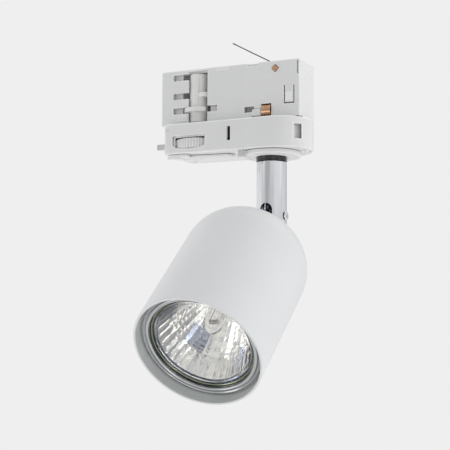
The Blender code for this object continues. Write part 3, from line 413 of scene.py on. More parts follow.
finishes = {
    "whitePlastic": {
        # the pure white edge colour at full amount over 0.95 mm is a painted highlight along the edges
        "colour": (0.80, 0.80, 0.797), "shade": (0.775, 0.775, 0.77), "edgeRubAndHighlightColour": (1.0, 1.0, 1.0),
        "edge": 1.0, "edgeWidth": 0.95 * mm, "edgePatches": 90.0, "edgeBreaks": 0.15,
        "roughness": (0.30, 0.42), "grain": 2600.0, "bump": 0.30, "depth": 0.012 * mm, "dust": 0.06,
        "sockets": {"IOR": 1.52},
    },
    "ivoryPlastic": {
        "colour": (0.84, 0.84, 0.83), "shade": (0.80, 0.80, 0.78), "edgeRubAndHighlightColour": (0.91, 0.91, 0.90),
        "roughness": (0.26, 0.38), "grain": 1800.0, "bump": 0.15, "dust": 0.05, "sockets": {"IOR": 1.54},
    },
    # painted highlight: a brighter white for faces that catch more light, the cover's lip and the tongue's
    # ramp
    "paintedHighlightPlastic": {
        "colour": (0.95, 0.95, 0.95), "shade": (0.92, 0.92, 0.92), "edgeRubAndHighlightColour": (0.98, 0.98, 0.98),
        "roughness": (0.22, 0.32), "grain": 2600.0, "bump": 0.15, "dust": 0.03, "sockets": {"IOR": 1.54},
    },
    "greyPlastic": {
        "colour": (0.66, 0.66, 0.66), "shade": (0.60, 0.60, 0.60), "edgeRubAndHighlightColour": (0.78, 0.78, 0.78),
        "roughness": (0.34, 0.48), "grain": 2200.0, "bump": 0.25, "dust": 0.05,
    },
    "powderCoat": {
        "colour": (0.79, 0.792, 0.80), "shade": (0.77, 0.773, 0.782), "edgeRubAndHighlightColour": (0.85, 0.85, 0.85),
        "roughness": (0.36, 0.46), "grain": 900.0, "cells": 0.8, "bump": 0.22, "depth": 0.02 * mm,
        "dust": 0.05, "edge": 0.25, "patches": 26.0, "sockets": {"Coat Weight": 0.15, "Coat Roughness": 0.3},
    },
    "chromePlate": {
        "colour": (0.86, 0.86, 0.88), "shade": (0.82, 0.82, 0.84), "edgeRubAndHighlightColour": (0.74, 0.73, 0.70),
        "roughness": (0.05, 0.12), "grain": 5200.0, "bump": 0.05, "depth": 0.004 * mm, "dust": 0.04,
        "edge": 0.35, "streaks": 420.0, "sockets": {"Metallic": 1.0},
    },
    # painted shade: a darker copy of the chrome for the retaining ring, which lies in shade inside the mouth
    "ringChromePaintedShade": {
        "colour": (0.50, 0.51, 0.52), "shade": (0.42, 0.43, 0.44), "edgeRubAndHighlightColour": (0.62, 0.62, 0.61),
        "roughness": (0.10, 0.20), "grain": 4200.0, "bump": 0.05, "depth": 0.004 * mm, "dust": 0.03,
        "edge": 0.35, "streaks": 420.0, "sockets": {"Metallic": 1.0},
    },
    # painted shade: a darker grey-green copy of the head's coat, for the inside of the rim where the shadow
    # falls
    "innerCoatPaintedShade": {
        "colour": (0.66, 0.68, 0.67), "shade": (0.60, 0.62, 0.61), "edgeRubAndHighlightColour": (0.74, 0.75, 0.74),
        "roughness": (0.30, 0.42), "grain": 900.0, "cells": 0.8, "bump": 0.25, "depth": 0.02 * mm,
        "dust": 0.05,
    },
    "darkChrome": {
        "colour": (0.07, 0.068, 0.066), "shade": (0.04, 0.04, 0.04), "edgeRubAndHighlightColour": (0.40, 0.39, 0.37),
        "roughness": (0.10, 0.20), "grain": 4200.0, "bump": 0.06, "depth": 0.004 * mm, "dust": 0.03,
        "edge": 0.5, "sockets": {"Metallic": 1.0},
    },
    "zincSteel": {
        "colour": (0.60, 0.60, 0.59), "shade": (0.48, 0.48, 0.48), "edgeRubAndHighlightColour": (0.72, 0.71, 0.69),
        "roughness": (0.24, 0.42), "grain": 3000.0, "bump": 0.2, "depth": 0.008 * mm, "dust": 0.08,
        "edge": 0.5, "sockets": {"Metallic": 1.0},
    },
    "springSteel": {
        "colour": (0.15, 0.15, 0.155), "shade": (0.10, 0.10, 0.105), "edgeRubAndHighlightColour": (0.30, 0.30, 0.30),
        "roughness": (0.22, 0.36), "grain": 3600.0, "bump": 0.12, "depth": 0.006 * mm, "dust": 0.04,
        "edge": 0.6, "sockets": {"Metallic": 1.0},
    },
    "bareCopper": {
        "colour": (0.80, 0.50, 0.31), "shade": (0.56, 0.33, 0.20), "edgeRubAndHighlightColour": (0.93, 0.72, 0.52),
        "roughness": (0.18, 0.36), "grain": 2600.0, "bump": 0.15, "depth": 0.006 * mm, "dust": 0.03,
        "edge": 0.7, "patches": 240.0, "sockets": {"Metallic": 1.0},
    },
    "clipBrass": {
        "colour": (0.80, 0.62, 0.32), "shade": (0.62, 0.46, 0.24), "edgeRubAndHighlightColour": (0.92, 0.80, 0.52),
        "roughness": (0.22, 0.38), "grain": 2600.0, "bump": 0.15, "dust": 0.04, "sockets": {"Metallic": 1.0},
    },
    "steatite": {
        "colour": (0.86, 0.84, 0.79), "shade": (0.80, 0.77, 0.71), "edgeRubAndHighlightColour": (0.90, 0.88, 0.84),
        "roughness": (0.42, 0.62), "grain": 1600.0, "cells": 0.9, "bump": 0.4, "depth": 0.03 * mm,
        "dust": 0.12,
    },
    "brownSleeve": {
        "colour": (0.26, 0.13, 0.07), "shade": (0.20, 0.10, 0.06), "edgeRubAndHighlightColour": (0.32, 0.18, 0.10),
        "roughness": (0.36, 0.5), "grain": 2400.0, "bump": 0.2, "dust": 0.1,
    },
    "blueSleeve": {
        "colour": (0.06, 0.16, 0.46), "shade": (0.05, 0.12, 0.36), "edgeRubAndHighlightColour": (0.12, 0.24, 0.55),
        "roughness": (0.36, 0.5), "grain": 2400.0, "bump": 0.2, "dust": 0.1,
    },
    "tungsten": {
        "colour": (0.42, 0.40, 0.38), "shade": (0.34, 0.32, 0.30), "edgeRubAndHighlightColour": (0.50, 0.48, 0.46),
        "roughness": (0.3, 0.4), "grain": 6000.0, "bump": 0.1, "depth": 0.002 * mm, "dust": 0.0,
        "sockets": {"Metallic": 1.0},
    },
}
made = {name: surface(name, look) for name, look in finishes.items()}


def clearGlass(name, colour, roughness, ior=1.5):
    # clear moulded glass with faint ripples
    glass = bpy.data.materials.new(name)
    glass.use_nodes = True
    tree = glass.node_tree
    shader = tree.nodes["Principled BSDF"]
    shader.inputs["Base Color"].default_value = (*colour, 1.0)
    shader.inputs["Transmission Weight"].default_value = 1.0
    shader.inputs["IOR"].default_value = ior
    handling = placed(tree, "handling", Patches=140.0, Streaks=300.0)
    rough = ranged(tree, handling["Broad"], 0.0, 1.0, roughness, roughness + 0.03)
    tree.links.new(rough, shader.inputs["Roughness"])
    bumped(tree, shader, placed(tree, "grain", Grain=260.0, Cells=0.1)["Height"], 0.04, 0.05 * mm)
    return glass


def facetMirror():
    # vapour-coated facets: each facet has its own cast, from cool blue-grey to warm cream; one patch held at
    # the blue-grey end is a painted dark reflection
    mirror = bpy.data.materials.new("facetMirror")
    mirror.use_nodes = True
    tree = mirror.node_tree
    shader = tree.nodes["Principled BSDF"]
    shader.inputs["Metallic"].default_value = 1.0
    cast = tree.nodes.new("ShaderNodeAttribute")
    cast.attribute_name = "facetCastAndDarkReflection"
    colour = blended(tree, cast.outputs["Fac"], (0.30, 0.34, 0.45), (1.0, 0.98, 0.93))
    handling = placed(tree, "handling", Patches=200.0, Streaks=500.0)
    colour = blended(tree, sums(tree, "MULTIPLY", handling["Fine"], 0.25), colour, (0.80, 0.80, 0.82))
    tree.links.new(colour, shader.inputs["Base Color"])
    tree.links.new(ranged(tree, handling["Broad"], 0.0, 1.0, 0.05, 0.12), shader.inputs["Roughness"])
    bumped(tree, shader, placed(tree, "grain", Grain=2400.0, Cells=0.2)["Height"], 0.06, 0.01 * mm)
    return mirror


made["paneGlass"] = clearGlass("paneGlass", (0.985, 0.99, 0.985), 0.0)
made["burnerGlass"] = clearGlass("burnerGlass", (1.0, 1.0, 1.0), 0.0, 1.16)
made["rimGlass"] = clearGlass("rimGlass", (0.50, 0.52, 0.30), 0.08)
made["facetMirror"] = facetMirror()
print("finishes ready:", len(made))


# the box inside the track
housing = {
    "corner": 1.0 * mm, "edge": 0.8 * mm, "wall": 1.6 * mm, "clear": 0.3 * mm,
    "endGrooves": (24.9 * mm, 21.0 * mm), "grooveWidth": 0.7 * mm, "grooveDepth": 0.35 * mm,
    "ejectorMarks": ((-48.0, 20.0), (-48.0, 6.0), (11.0, 20.0), (11.0, 6.0), (-20.0, 12.0)),
    "markRadius": 2.0 * mm, "markDepth": 0.12 * mm,
    "backRibs": (-42.0, -33.0, -6.5, 8.0), "ribWidth": 1.0 * mm, "ribOut": 0.45 * mm,
    "ribIn": 0.3 * mm, "ribFoot": 0.4 * mm, "ribTop": 9.0 * mm,
    "roofRails": (-5.5 * mm, 5.5 * mm), "railStart": 3.0 * mm, "railEnd": 40.0 * mm, "railOut": 0.3 * mm,
    "footCorner": 0.4 * mm, "windowCorner": 0.4 * mm, "lugSlotCorner": 0.3 * mm, "grooveInset": 4.0 * mm,
    "leafSlot": (4.2 * mm, 1.0 * mm),
}


def makeHousing():
    low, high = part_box("track_housing")
    wall, corner, clear = housing["wall"], housing["corner"], housing["clear"]
    outline = rounded([
        (low.x, low.z, housing["footCorner"]), (high.x, low.z, housing["footCorner"]),
        (high.x, high.z, corner), (low.x, high.z, corner),
    ])
    body = pieceFrom("trackHousing", extruded(outline, low.y, high.y, "Y"), made["whitePlastic"])
    insideY = high.y - wall
    ceiling = high.z - wall
    hollow = block((low.x + wall, low.y - pastFace, low.z - pastFace), (high.x - wall, insideY, ceiling))
    contactLow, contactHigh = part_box("contact_neutral")
    window = extruded(
        box4(
            contactLow.x - clear, contactHigh.x + clear, contactLow.z - clear, contactHigh.z + clear,
            housing["windowCorner"],
        ),
        insideY - pastFace, high.y + pastFace, "Y",
    )
    leafLow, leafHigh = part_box("earth_spring")
    leafSlot = block(
        (leafHigh.x - housing["leafSlot"][0], leafLow.y - clear, ceiling - pastFace),
        (leafHigh.x + housing["leafSlot"][1], leafHigh.y + clear, high.z + pastFace),
    )
    lugLow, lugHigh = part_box("lock_lug")
    axisY = middleOf("lever_shaft").y
    swing = math.sqrt((lugHigh.y - axisY) ** 2 - (insideY - axisY) ** 2)
    lugSlot = extruded(
        box4(
            lugLow.x - clear, lugHigh.x + swing + clear, lugLow.z - clear, lugHigh.z + clear,
            housing["lugSlotCorner"],
        ),
        insideY - pastFace, high.y + pastFace, "Y",
    )
    shaped(body, [hollow, window, leafSlot, lugSlot])
    cuts = []
    depth, inset = housing["grooveDepth"], housing["grooveInset"]
    for height in housing["endGrooves"]:
        for start, end in ((high.x - depth, high.x + pastFace), (low.x - pastFace, low.x + depth)):
            cuts.append(block(
                (start, low.y + inset, height), (end, high.y - inset, height + housing["grooveWidth"])
            ))
    for x, z in housing["ejectorMarks"]:
        mark = arcPoints(x * mm, z * mm, housing["markRadius"], 0, 350, 35)
        cuts.append(extruded(mark, high.y - housing["markDepth"], high.y + pastFace, "Y"))
    shaped(body, cuts)
    half = housing["ribWidth"] / 2
    ribs = [
        block(
            (x * mm - half, high.y - housing["ribIn"], housing["ribFoot"] + low.z),
            (x * mm + half, high.y + housing["ribOut"], housing["ribTop"]),
        )
        for x in housing["backRibs"]
    ]
    for y in housing["roofRails"]:
        ribs.append(block(
            (low.x + housing["railStart"], y - half, high.z - housing["railOut"]),
            (low.x + housing["railEnd"], y + half, high.z + housing["railOut"]),
        ))
    shaped(body, ribs, "UNION")
    softEdges(body, housing["edge"] / 2, 2)
    settled(body, "adapter", "white_plastic", "track_housing")


plate = {
    "thick": 1.5 * mm, "edge": 0.16 * mm, "corner": 0.9 * mm, "clear": 0.3 * mm,
    "drumWindow": (-42.4, -31.4, 1.2, 27.6),
    "keySlots": ((-51.1, -41.4, 23.4, 26.6), (-51.1, -41.4, 13.7, 16.9), (-51.1, -25.9, 6.1, 9.3)),
    "carrierSlot": (-10.9, -5.4, 3.7, 6.7), "topNotch": (-9.4, -3.3, 27.2, 29.6),
    "endSlot": (17.5, 18.4, 21.1, 27.8), "footCorner": 0.3 * mm,
    "slit": (10.6, 16.3, 6.6, 15.9), "slitWidth": 0.7,
    "wedge": (11.7, 15.2, 7.8, 12.5), "wedgeOut": 1.3 * mm, "wedgeIn": 0.4 * mm, "wedgeEdge": 0.15 * mm,
    "snap": (-26.7, -19.9, 26.9, 28.3), "snapOut": 0.5 * mm, "snapCorner": 0.3 * mm,
    "pad": (-47.6, -42.9, 2.1, 4.9), "padOut": 0.8 * mm, "padCorner": 0.5 * mm, "tabIn": 0.5 * mm,
}


chamber = {
    "radius": 8.3 * mm, "wall": 0.8 * mm, "left": -52.5 * mm, "right": -24.5 * mm, "behind": 0.9 * mm,
    "floor": 0.6 * mm, "overDrum": 0.5 * mm, "contact": (-13.5, 9.0, 0.9, 9.0), "contactDepth": 1.6 * mm,
    "contactGap": 0.2 * mm, "slotGap": 0.5 * mm, "slotDepth": 5.0 * mm,
}


def makeChambers():
    # the white walls seen through the plate's windows: one round the drum, one round the contact
    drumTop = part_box("selector_drum")[1].z
    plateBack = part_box("front_plate")[1].y
    axis = middleOf("selector_wheel")
    near = plateBack + chamber["behind"]
    radius, wall = chamber["radius"], chamber["wall"]
    opening = math.degrees(math.acos((axis.y - near) / radius))
    outline = arcPoints(axis.x, axis.y, radius, -90 + opening, 270 - opening, 48)
    outline += [(chamber["left"], near), (chamber["left"], near + wall)]
    outerOpening = math.degrees(math.acos((axis.y - near - wall) / (radius + wall)))
    outline += arcPoints(axis.x, axis.y, radius + wall, 270 - outerOpening, -90 + outerOpening, 48)
    outline += [(chamber["right"], near + wall), (chamber["right"], near)]
    walls = extruded(outline, chamber["floor"], drumTop + chamber["overDrum"])
    settled(pieceFrom("drumChamber", walls, made["whitePlastic"]), "adapter", "white_plastic")
    left, right, bottom, top = inMm(chamber["contact"])
    back = near + chamber["contactDepth"]
    whole = block((left, near, bottom), (right, back + wall, top))
    tray = pieceFrom("contactTray", whole, made["whitePlastic"])
    contactLow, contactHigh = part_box("contact_lower")
    gap = chamber["slotGap"]
    shaped(tray, [
        block(
            (left + wall, near - pastFace, bottom + wall / 2),
            (contactLow.x - chamber["contactGap"], back, top - wall),
        ),
        block(
            (contactLow.x - gap, near - pastFace, bottom - pastFace),
            (contactHigh.x + gap, near + chamber["slotDepth"], top + pastFace),
        ),
    ])
    settled(tray, "adapter", "white_plastic")


def makePlate():
    low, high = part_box("front_plate")
    back = high.y
    front = back - plate["thick"]
    corner = plate["corner"]
    outline = rounded([
        (low.x, low.z, plate["footCorner"]), (high.x, low.z, plate["footCorner"]),
        (high.x, high.z, corner), (low.x, high.z, corner),
    ])
    body = pieceFrom("frontPlate", extruded(outline, front, back, "Y"), made["whitePlastic"])
    near, far = front - pastFace, back + pastFace
    windows = [plate["drumWindow"], *plate["keySlots"]]
    windows += [plate[name] for name in ("carrierSlot", "topNotch", "endSlot")]
    cuts = [extruded(box4(*inMm(window)), near, far, "Y") for window in windows]
    clear = plate["clear"]
    for name in ("contact_lower", "contact_carrier"):
        nodeLow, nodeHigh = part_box(name)
        cuts.append(extruded(
            box4(nodeLow.x - clear, nodeHigh.x + clear, nodeLow.z - clear, nodeHigh.z + clear), near, far, "Y"
        ))
    nodeLow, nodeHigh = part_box("contact_upper")
    centre = (nodeLow + nodeHigh) / 2
    half = (nodeHigh.x - nodeLow.x) / 2 + clear
    diamond = [
        (centre.x - half, centre.z), (centre.x, centre.z - half),
        (centre.x + half, centre.z), (centre.x, centre.z + half),
    ]
    cuts.append(extruded(diamond, near, far, "Y"))
    left, right, bottom, top = inMm(plate["slit"])
    width = plate["slitWidth"] * mm
    cuts.append(extruded([
        (left, top), (left, bottom), (right, bottom), (right, top), (right - width, top),
        (right - width, bottom + width), (left + width, bottom + width), (left + width, top),
    ], near, far, "Y"))
    shaped(body, cuts)
    left, right, bottom, top = inMm(plate["wedge"])
    inner = front + plate["wedgeIn"]
    wedge = [(inner, top), (front, top), (front - plate["wedgeOut"], bottom), (inner, bottom)]
    # painted highlight: the ramp is made of the brighter plastic so that it reads as lit
    ramp = pieceFrom("tongueRamp", extruded(wedge, left, right, "X"), made["paintedHighlightPlastic"])
    settled(softEdges(ramp, plate["wedgeEdge"], 3), "adapter", "white_plastic")
    shaped(body, [
        extruded(
            box4(*inMm(plate[name]), plate[name + "Corner"]), front - plate[name + "Out"],
            front + plate["tabIn"], "Y",
        )
        for name in ("snap", "pad")
    ], "UNION")
    softEdges(body, plate["edge"], 2)
    settled(body, "adapter", "white_plastic", "front_plate")


# the cover under the track
cover = {
    "wall": 1.4 * mm, "lip": 0.75 * mm, "foot": 0.5 * mm, "corner": 2.0 * mm, "ledge": 1.8 * mm,
    "sideSlit": (-17.4, -15.5, -10.7, -3.5), "slitCorner": 0.3 * mm,
    "cornerNotch": (-52.2, -49.4, -4.6, -1.9), "notchDepth": 0.7 * mm,
    "roofOpening": ((-50.0, -6.2), (14.0, 6.2)), "neckHole": 5.1 * mm, "edgeAngle": 50,
    "wheelHalf": 9.4 * mm, "wheelShoulder": 1.9 * mm, "wheelAbove": 1.4 * mm, "wheelBelow": 0.25 * mm,
    "endWindow": ((16.3, -13.0, -11.2), (19.3, -5.0, -3.9)), "edge": 0.16 * mm,
    "clear": 0.3 * mm,
}


def coverOutline(inset=0.0):
    low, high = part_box("cover")
    left = low.x + inset
    half = high.y - inset
    corner = cover["corner"] - inset / 2
    centre = high.x - high.y
    points = arcPoints(left + corner, half - corner, corner, 90, 180, 6)
    points += arcPoints(left + corner, corner - half, corner, 180, 270, 6)
    points += arcPoints(centre, 0.0, half, -90, 90, 90)
    return points


def wheelWindow(wheelLow, wheelHigh, centreX):
    shoulder = wheelHigh - cover["wheelShoulder"]
    drop = shoulder - (wheelLow - cover["wheelBelow"])
    half = cover["wheelHalf"]
    top = wheelHigh + cover["wheelAbove"]
    points = [(centreX + half, top), (centreX - half, top)]
    steps = 30
    for i in range(steps + 1):
        across = -math.cos(math.pi * i / steps)
        points.append((centreX + half * across, shoulder - drop * (1.0 - abs(across) ** 3) ** (1 / 3)))
    return points


def makeCover():
    low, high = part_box("cover")
    wall = cover["wall"]
    bm = extruded(coverOutline(), low.z, high.z)
    rimRounded(bm, high.z, cover["lip"], 5)
    rimRounded(bm, low.z, cover["foot"], 4)
    body = pieceFrom("coverShell", bm, made["whitePlastic"])
    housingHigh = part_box("track_housing")[1]
    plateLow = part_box("front_plate")[0]
    clear = cover["clear"]
    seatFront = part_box("front_plate")[1].y - plate["thick"] - clear
    wheelLow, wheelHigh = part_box("selector_wheel")
    axis = (wheelLow + wheelHigh) / 2
    near, far = low.y - pastFace, low.y + wall + pastFace
    sliderLow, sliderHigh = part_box("release_slider")
    tools = [
        extruded(coverOutline(wall), low.z - pastFace, -cover["ledge"]),
        block(
            (plateLow.x, seatFront, -clear), (housingHigh.x + clear, housingHigh.y + clear, pastFace)
        ),
        block(
            (*inMm(cover["roofOpening"][0]), -cover["ledge"] - pastFace),
            (*inMm(cover["roofOpening"][1]), pastFace),
        ),
        rod(cover["neckHole"], -cover["ledge"] - pastFace, pastFace, 48, axis.x, axis.y),
        extruded(wheelWindow(wheelLow.z, wheelHigh.z, axis.x), near, far, "Y"),
        extruded(box4(*inMm(cover["sideSlit"]), cover["slitCorner"]), near, far, "Y"),
        extruded(box4(*inMm(cover["cornerNotch"])), near, low.y + cover["notchDepth"], "Y"),
        block(inMm(cover["endWindow"][0]), inMm(cover["endWindow"][1])),
        block(
            (low.x - pastFace, sliderLow.y - clear, sliderLow.z - clear),
            (low.x + wall + pastFace, sliderHigh.y + clear, sliderHigh.z + clear),
        ),
    ]
    shaped(body, tools)
    softEdges(body, cover["edge"], 2, cover["edgeAngle"])
    body.data.materials.append(made["paintedHighlightPlastic"])    # painted highlight: the rounded lip gets the brighter, glossier plastic
    for face in body.data.polygons:
        lip = face.center.z > high.z - cover["lip"] and 0.15 < face.normal.z < 0.98
        face.material_index = 1 if lip else 0
    settled(body, "adapter", "white_plastic", "cover")


liner = {
    "wheelGap": 0.6 * mm, "wall": 0.7 * mm, "above": 0.75 * mm, "below": 0.4 * mm, "behindWall": 0.15 * mm,
    "shelfOverlap": 0.2 * mm, "endDepth": 1.2 * mm, "endTurns": (-80, -8), "endFoot": 2.2 * mm,
    "endTopGap": 0.2 * mm, "sliderRoom": 2.0 * mm,
}


def makeLiners():
    # white walls behind the cover's windows: round the thumbwheel, and behind the end window
    low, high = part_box("cover")
    wheelLow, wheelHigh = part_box("selector_wheel")
    axis = (wheelLow + wheelHigh) / 2
    inner = (wheelHigh.x - wheelLow.x) / 2 + liner["wheelGap"]
    outer = inner + liner["wall"]
    near = low.y + cover["wall"] + liner["behindWall"]
    start = math.degrees(math.acos((axis.y - near) / inner))
    outerStart = math.degrees(math.acos((axis.y - near) / outer))
    wall = arcPoints(axis.x, axis.y, inner, -90 + start, 270 - start, 64)
    wall += arcPoints(axis.x, axis.y, outer, 270 - outerStart, -90 + outerStart, 64)
    shelfLow = wheelHigh.z + liner["above"]
    shelfHigh = shelfLow + liner["wall"]
    walls = extruded(wall, wheelLow.z - liner["below"], shelfHigh)
    house = pieceFrom("wheelHouse", walls, made["whitePlastic"])
    shelf = arcPoints(axis.x, axis.y, inner + liner["shelfOverlap"], -90 + start, 270 - start, 64)
    shaped(house, [extruded(shelf, shelfLow, shelfHigh)], "UNION")
    sliderLow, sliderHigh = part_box("release_slider")
    clear = cover["clear"]
    shaped(house, [
        rod(cover["neckHole"], shelfLow - pastFace, shelfLow + 3 * pastFace, 48, axis.x, axis.y),
        block(    # room for the slider's inner end when it is pushed in
            (sliderLow.x, sliderLow.y - clear, sliderLow.z - clear),
            (sliderHigh.x + liner["sliderRoom"], sliderHigh.y + clear, sliderHigh.z + clear),
        ),
    ])
    settled(house, "adapter", "white_plastic")
    centre = high.x - high.y
    reach = high.y - cover["wall"] - liner["endDepth"]
    first, last = liner["endTurns"]
    curve = arcPoints(centre, 0.0, reach, first, last, 24)
    curve += arcPoints(centre, 0.0, reach - liner["wall"], last, first, 24)
    end = extruded(curve, low.z + liner["endFoot"], -cover["ledge"] - liner["endTopGap"])
    settled(pieceFrom("endLiner", end, made["whitePlastic"]), "adapter", "white_plastic")


base = {
    "thick": 1.8 * mm, "inset": 1.7 * mm, "edge": 0.25 * mm, "screwHole": 1.4 * mm, "neckHole": 7.0 * mm,
    "shaftHole": 2.4 * mm, "ringGroove": (16.2 * mm, 17.0 * mm), "grooveDepth": 0.35 * mm,
    "peg": 1.0 * mm, "pegPlace": 11.4 * mm, "pegIn": 0.5 * mm,
}


def makeBase():
    low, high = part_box("base_plate")
    top = low.z + base["thick"]
    body = pieceFrom("basePlate", extruded(coverOutline(base["inset"]), low.z, top), made["whitePlastic"])
    under, over = low.z - pastFace, top + pastFace
    shaft = middleOf("lever_shaft")
    tools = [
        rod(base["neckHole"], under, over, 64),
        rod(base["shaftHole"], under, over, 40, shaft.x, shaft.y),
    ]
    for name in ("base_screw_1", "base_screw_2"):
        screw = middleOf(name)
        tools.append(rod(base["screwHole"], under, over, 32, screw.x, screw.y))
    inner, outer = base["ringGroove"]
    tools.append(spun([
        (inner, low.z + base["grooveDepth"]), (outer, low.z + base["grooveDepth"]),
        (outer, low.z - pastFace), (inner, low.z - pastFace),
    ], 96))
    shaped(body, tools)
    peg = rod(base["peg"], top - base["pegIn"], high.z, 24, base["pegPlace"])
    shaped(body, [peg], "UNION")
    softEdges(body, base["edge"] / 2, 2)
    settled(body, "adapter", "white_plastic", "base_plate")


disc = {
    "edge": 0.45 * mm, "bore": 5.2 * mm, "soft": 0.3 * mm,
    "groove": (12.6, 12.2, 9.6, 9.2), "grooveDepth": 0.35 * mm,
}


def makeDisc():
    low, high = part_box("swivel_disc")
    edge, bore, soft = disc["edge"], disc["bore"], disc["soft"]
    deep = low.z + disc["grooveDepth"]
    outerEnd, outer, inner, innerEnd = inMm(disc["groove"])
    profile = rounded([
        (bore, high.z, 0.0), (high.x, high.z, edge / 2), (high.x, low.z, edge * 1.6),
        (outerEnd, low.z, soft), (outer, deep, soft), (inner, deep, soft),
        (innerEnd, low.z, soft), (bore, low.z, edge / 2),
    ])
    body = pieceFrom("swivelDisc", spun(profile, 128), made["whitePlastic"])
    settled(body, "adapter", "white_plastic", "swivel_disc")


def makeCatch():
    low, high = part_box("base_catch")
    outline = rounded([
        (low.x, high.z, 0.0), (low.x, low.z, 0.3 * mm), (high.x, low.z, 0.3 * mm),
        (high.x, low.z + 0.9 * mm, 0.1 * mm), (high.x - 1.0 * mm, low.z + 1.2 * mm, 0.2 * mm),
        (high.x - 1.0 * mm, high.z, 0.0),
    ])
    body = pieceFrom("baseCatch", extruded(outline, low.y, high.y, "Y"), made["greyPlastic"])
    settled(softEdges(body, 0.12 * mm, 2), "adapter", "grey_plastic", "base_catch")


# the copper contacts
contact = {"sheet": 0.55 * mm, "edge": 0.1 * mm, "slotHalf": 0.2 * mm, "slotDepth": 0.35 * mm}


def makeContact(name, node, side):
    # a copper leaf bent into a rounded nose, side -1 at the front and +1 at the back
    low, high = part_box(node)
    nose = abs(low.y if side < 0 else high.y) - contact["sheet"] / 2
    root = abs(high.y if side < 0 else low.y)
    top, bottom = high.z - contact["sheet"], low.z + contact["sheet"] / 2
    middle = (top + bottom) / 2
    points = [
        (side * root, top), (side * (nose - 2.6 * mm), top), (side * (nose - 0.9 * mm), top - 0.2 * mm),
        (side * nose, middle + 1.0 * mm), (side * nose, middle - 1.0 * mm),
        (side * (nose - 0.9 * mm), bottom + 0.3 * mm), (side * (nose - 2.6 * mm), bottom),
        (side * root, bottom),
    ]
    leaf = extruded(strip(points, contact["sheet"]), low.x, high.x, "X")
    body = pieceFrom(name, leaf, made["bareCopper"], 40)
    settled(softEdges(body, contact["edge"], 2, 60), "adapter", "copper", node)


def makeContacts():
    makeContact("phaseContact", "contact_lower", -1)
    makeContact("neutralContact", "contact_neutral", 1)
    low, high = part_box("contact_upper")
    centre = (low + high) / 2
    half = (high.x - low.x) / 2
    outline = rounded([
        (centre.x - half, centre.z, 0.35 * mm), (centre.x, centre.z - half, 0.35 * mm),
        (centre.x + half, centre.z, 0.35 * mm), (centre.x, centre.z + half, 0.35 * mm),
    ])
    pin = pieceFrom("upperContact", extruded(outline, low.y, high.y, "Y"), made["bareCopper"])
    slot, deep = contact["slotHalf"], contact["slotDepth"]
    shaped(pin, [block((low.x, low.y - pastFace, centre.z - slot), (high.x, low.y + deep, centre.z + slot))])
    settled(softEdges(pin, 0.12 * mm, 2), "adapter", "copper", "contact_upper")
    low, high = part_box("contact_carrier")
    body = pieceFrom("contactCarrier", block(low, high), made["ivoryPlastic"])
    step = block(
        (low.x - pastFace, low.y - pastFace, high.z - 1.1 * mm),
        (low.x + 1.6 * mm, low.y + 0.5 * mm, high.z + pastFace),
    )
    shaped(body, [step])
    settled(softEdges(body, 0.25 * mm, 3), "adapter", "white_plastic", "contact_carrier")


def makeEarthLeaf():
    low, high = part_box("earth_spring")
    foot = high.x - 0.4 * mm
    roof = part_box("track_housing")[1].z
    points = [
        (foot, low.z + 0.2 * mm), (foot - 0.1 * mm, roof - 2.4 * mm), (foot - 1.0 * mm, roof - 0.2 * mm),
        (foot - 3.4 * mm, roof + 1.3 * mm), (low.x + 9.0 * mm, high.z - 5.2 * mm),
        (low.x + 2.6 * mm, high.z - 1.6 * mm), (low.x + 1.5 * mm, high.z - 1.1 * mm),
    ]
    bm = extruded(strip(points, 0.5 * mm, 8), low.y + 0.5 * mm, high.y - 0.5 * mm, "Y")
    leaf = pieceFrom("earthLeaf", bm, made["springSteel"], 40)
    settled(softEdges(leaf, 0.06 * mm, 2, 60), "adapter", "steel", "earth_spring")


# the phase selector: drum and thumbwheel
selector = {
    "ribs": 48, "perRib": 8, "ribDepth": 0.85 * mm, "ribPower": 0.6, "rimShare": 0.4, "chamfer": 0.5 * mm,
    "drumRadius": 4.7 * mm, "drumFoot": 1.6 * mm, "drumEdge": 0.5 * mm, "neck": 3.1 * mm,
    "keyEdge": 0.4 * mm, "keySpread": 52.0, "keyRoot": 3.2 * mm, "keyReach": 7.6 * mm, "keyThick": 2.2 * mm,
    "keyLevels": (6.6, 14.2, 23.9), "ringGroove": (7.4 * mm, 8.0 * mm), "ringDepth": 0.3 * mm,
}


def makeDrum():
    low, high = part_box("selector_drum")
    axis = middleOf("selector_wheel")
    radius, neck, foot = selector["drumRadius"], selector["neck"], selector["drumFoot"]
    profile = rounded([
        (0.0, high.z, 0.0), (radius, high.z, selector["drumEdge"]), (radius, foot, 0.3 * mm),
        (neck, foot, 0.2 * mm), (neck, low.z, 0.2 * mm), (0.0, low.z, 0.0),
    ])
    drum = pieceFrom("selectorDrum", spun(profile, 64, axis.x, axis.y), made["ivoryPlastic"])
    keys = []
    spread, root = selector["keySpread"], selector["keyRoot"]
    for level, under in enumerate(selector["keyLevels"]):
        outline = arcPoints(0.0, 0.0, selector["keyReach"], -90 - spread, -90 + spread, 24)
        outline += [(root, 0.0), (-root, 0.0)]
        bm = extruded(outline, under * mm, under * mm + selector["keyThick"])
        place = Matrix.Translation((axis.x, axis.y, 0)) @ Matrix.Rotation(math.radians(90 * level), 4, "Z")
        bmesh.ops.transform(bm, matrix=place, verts=bm.verts)
        keys.append(bm)
    shaped(drum, keys, "UNION")
    settled(softEdges(drum, selector["keyEdge"], 4, 50), "selector", "white_plastic", "selector_drum")


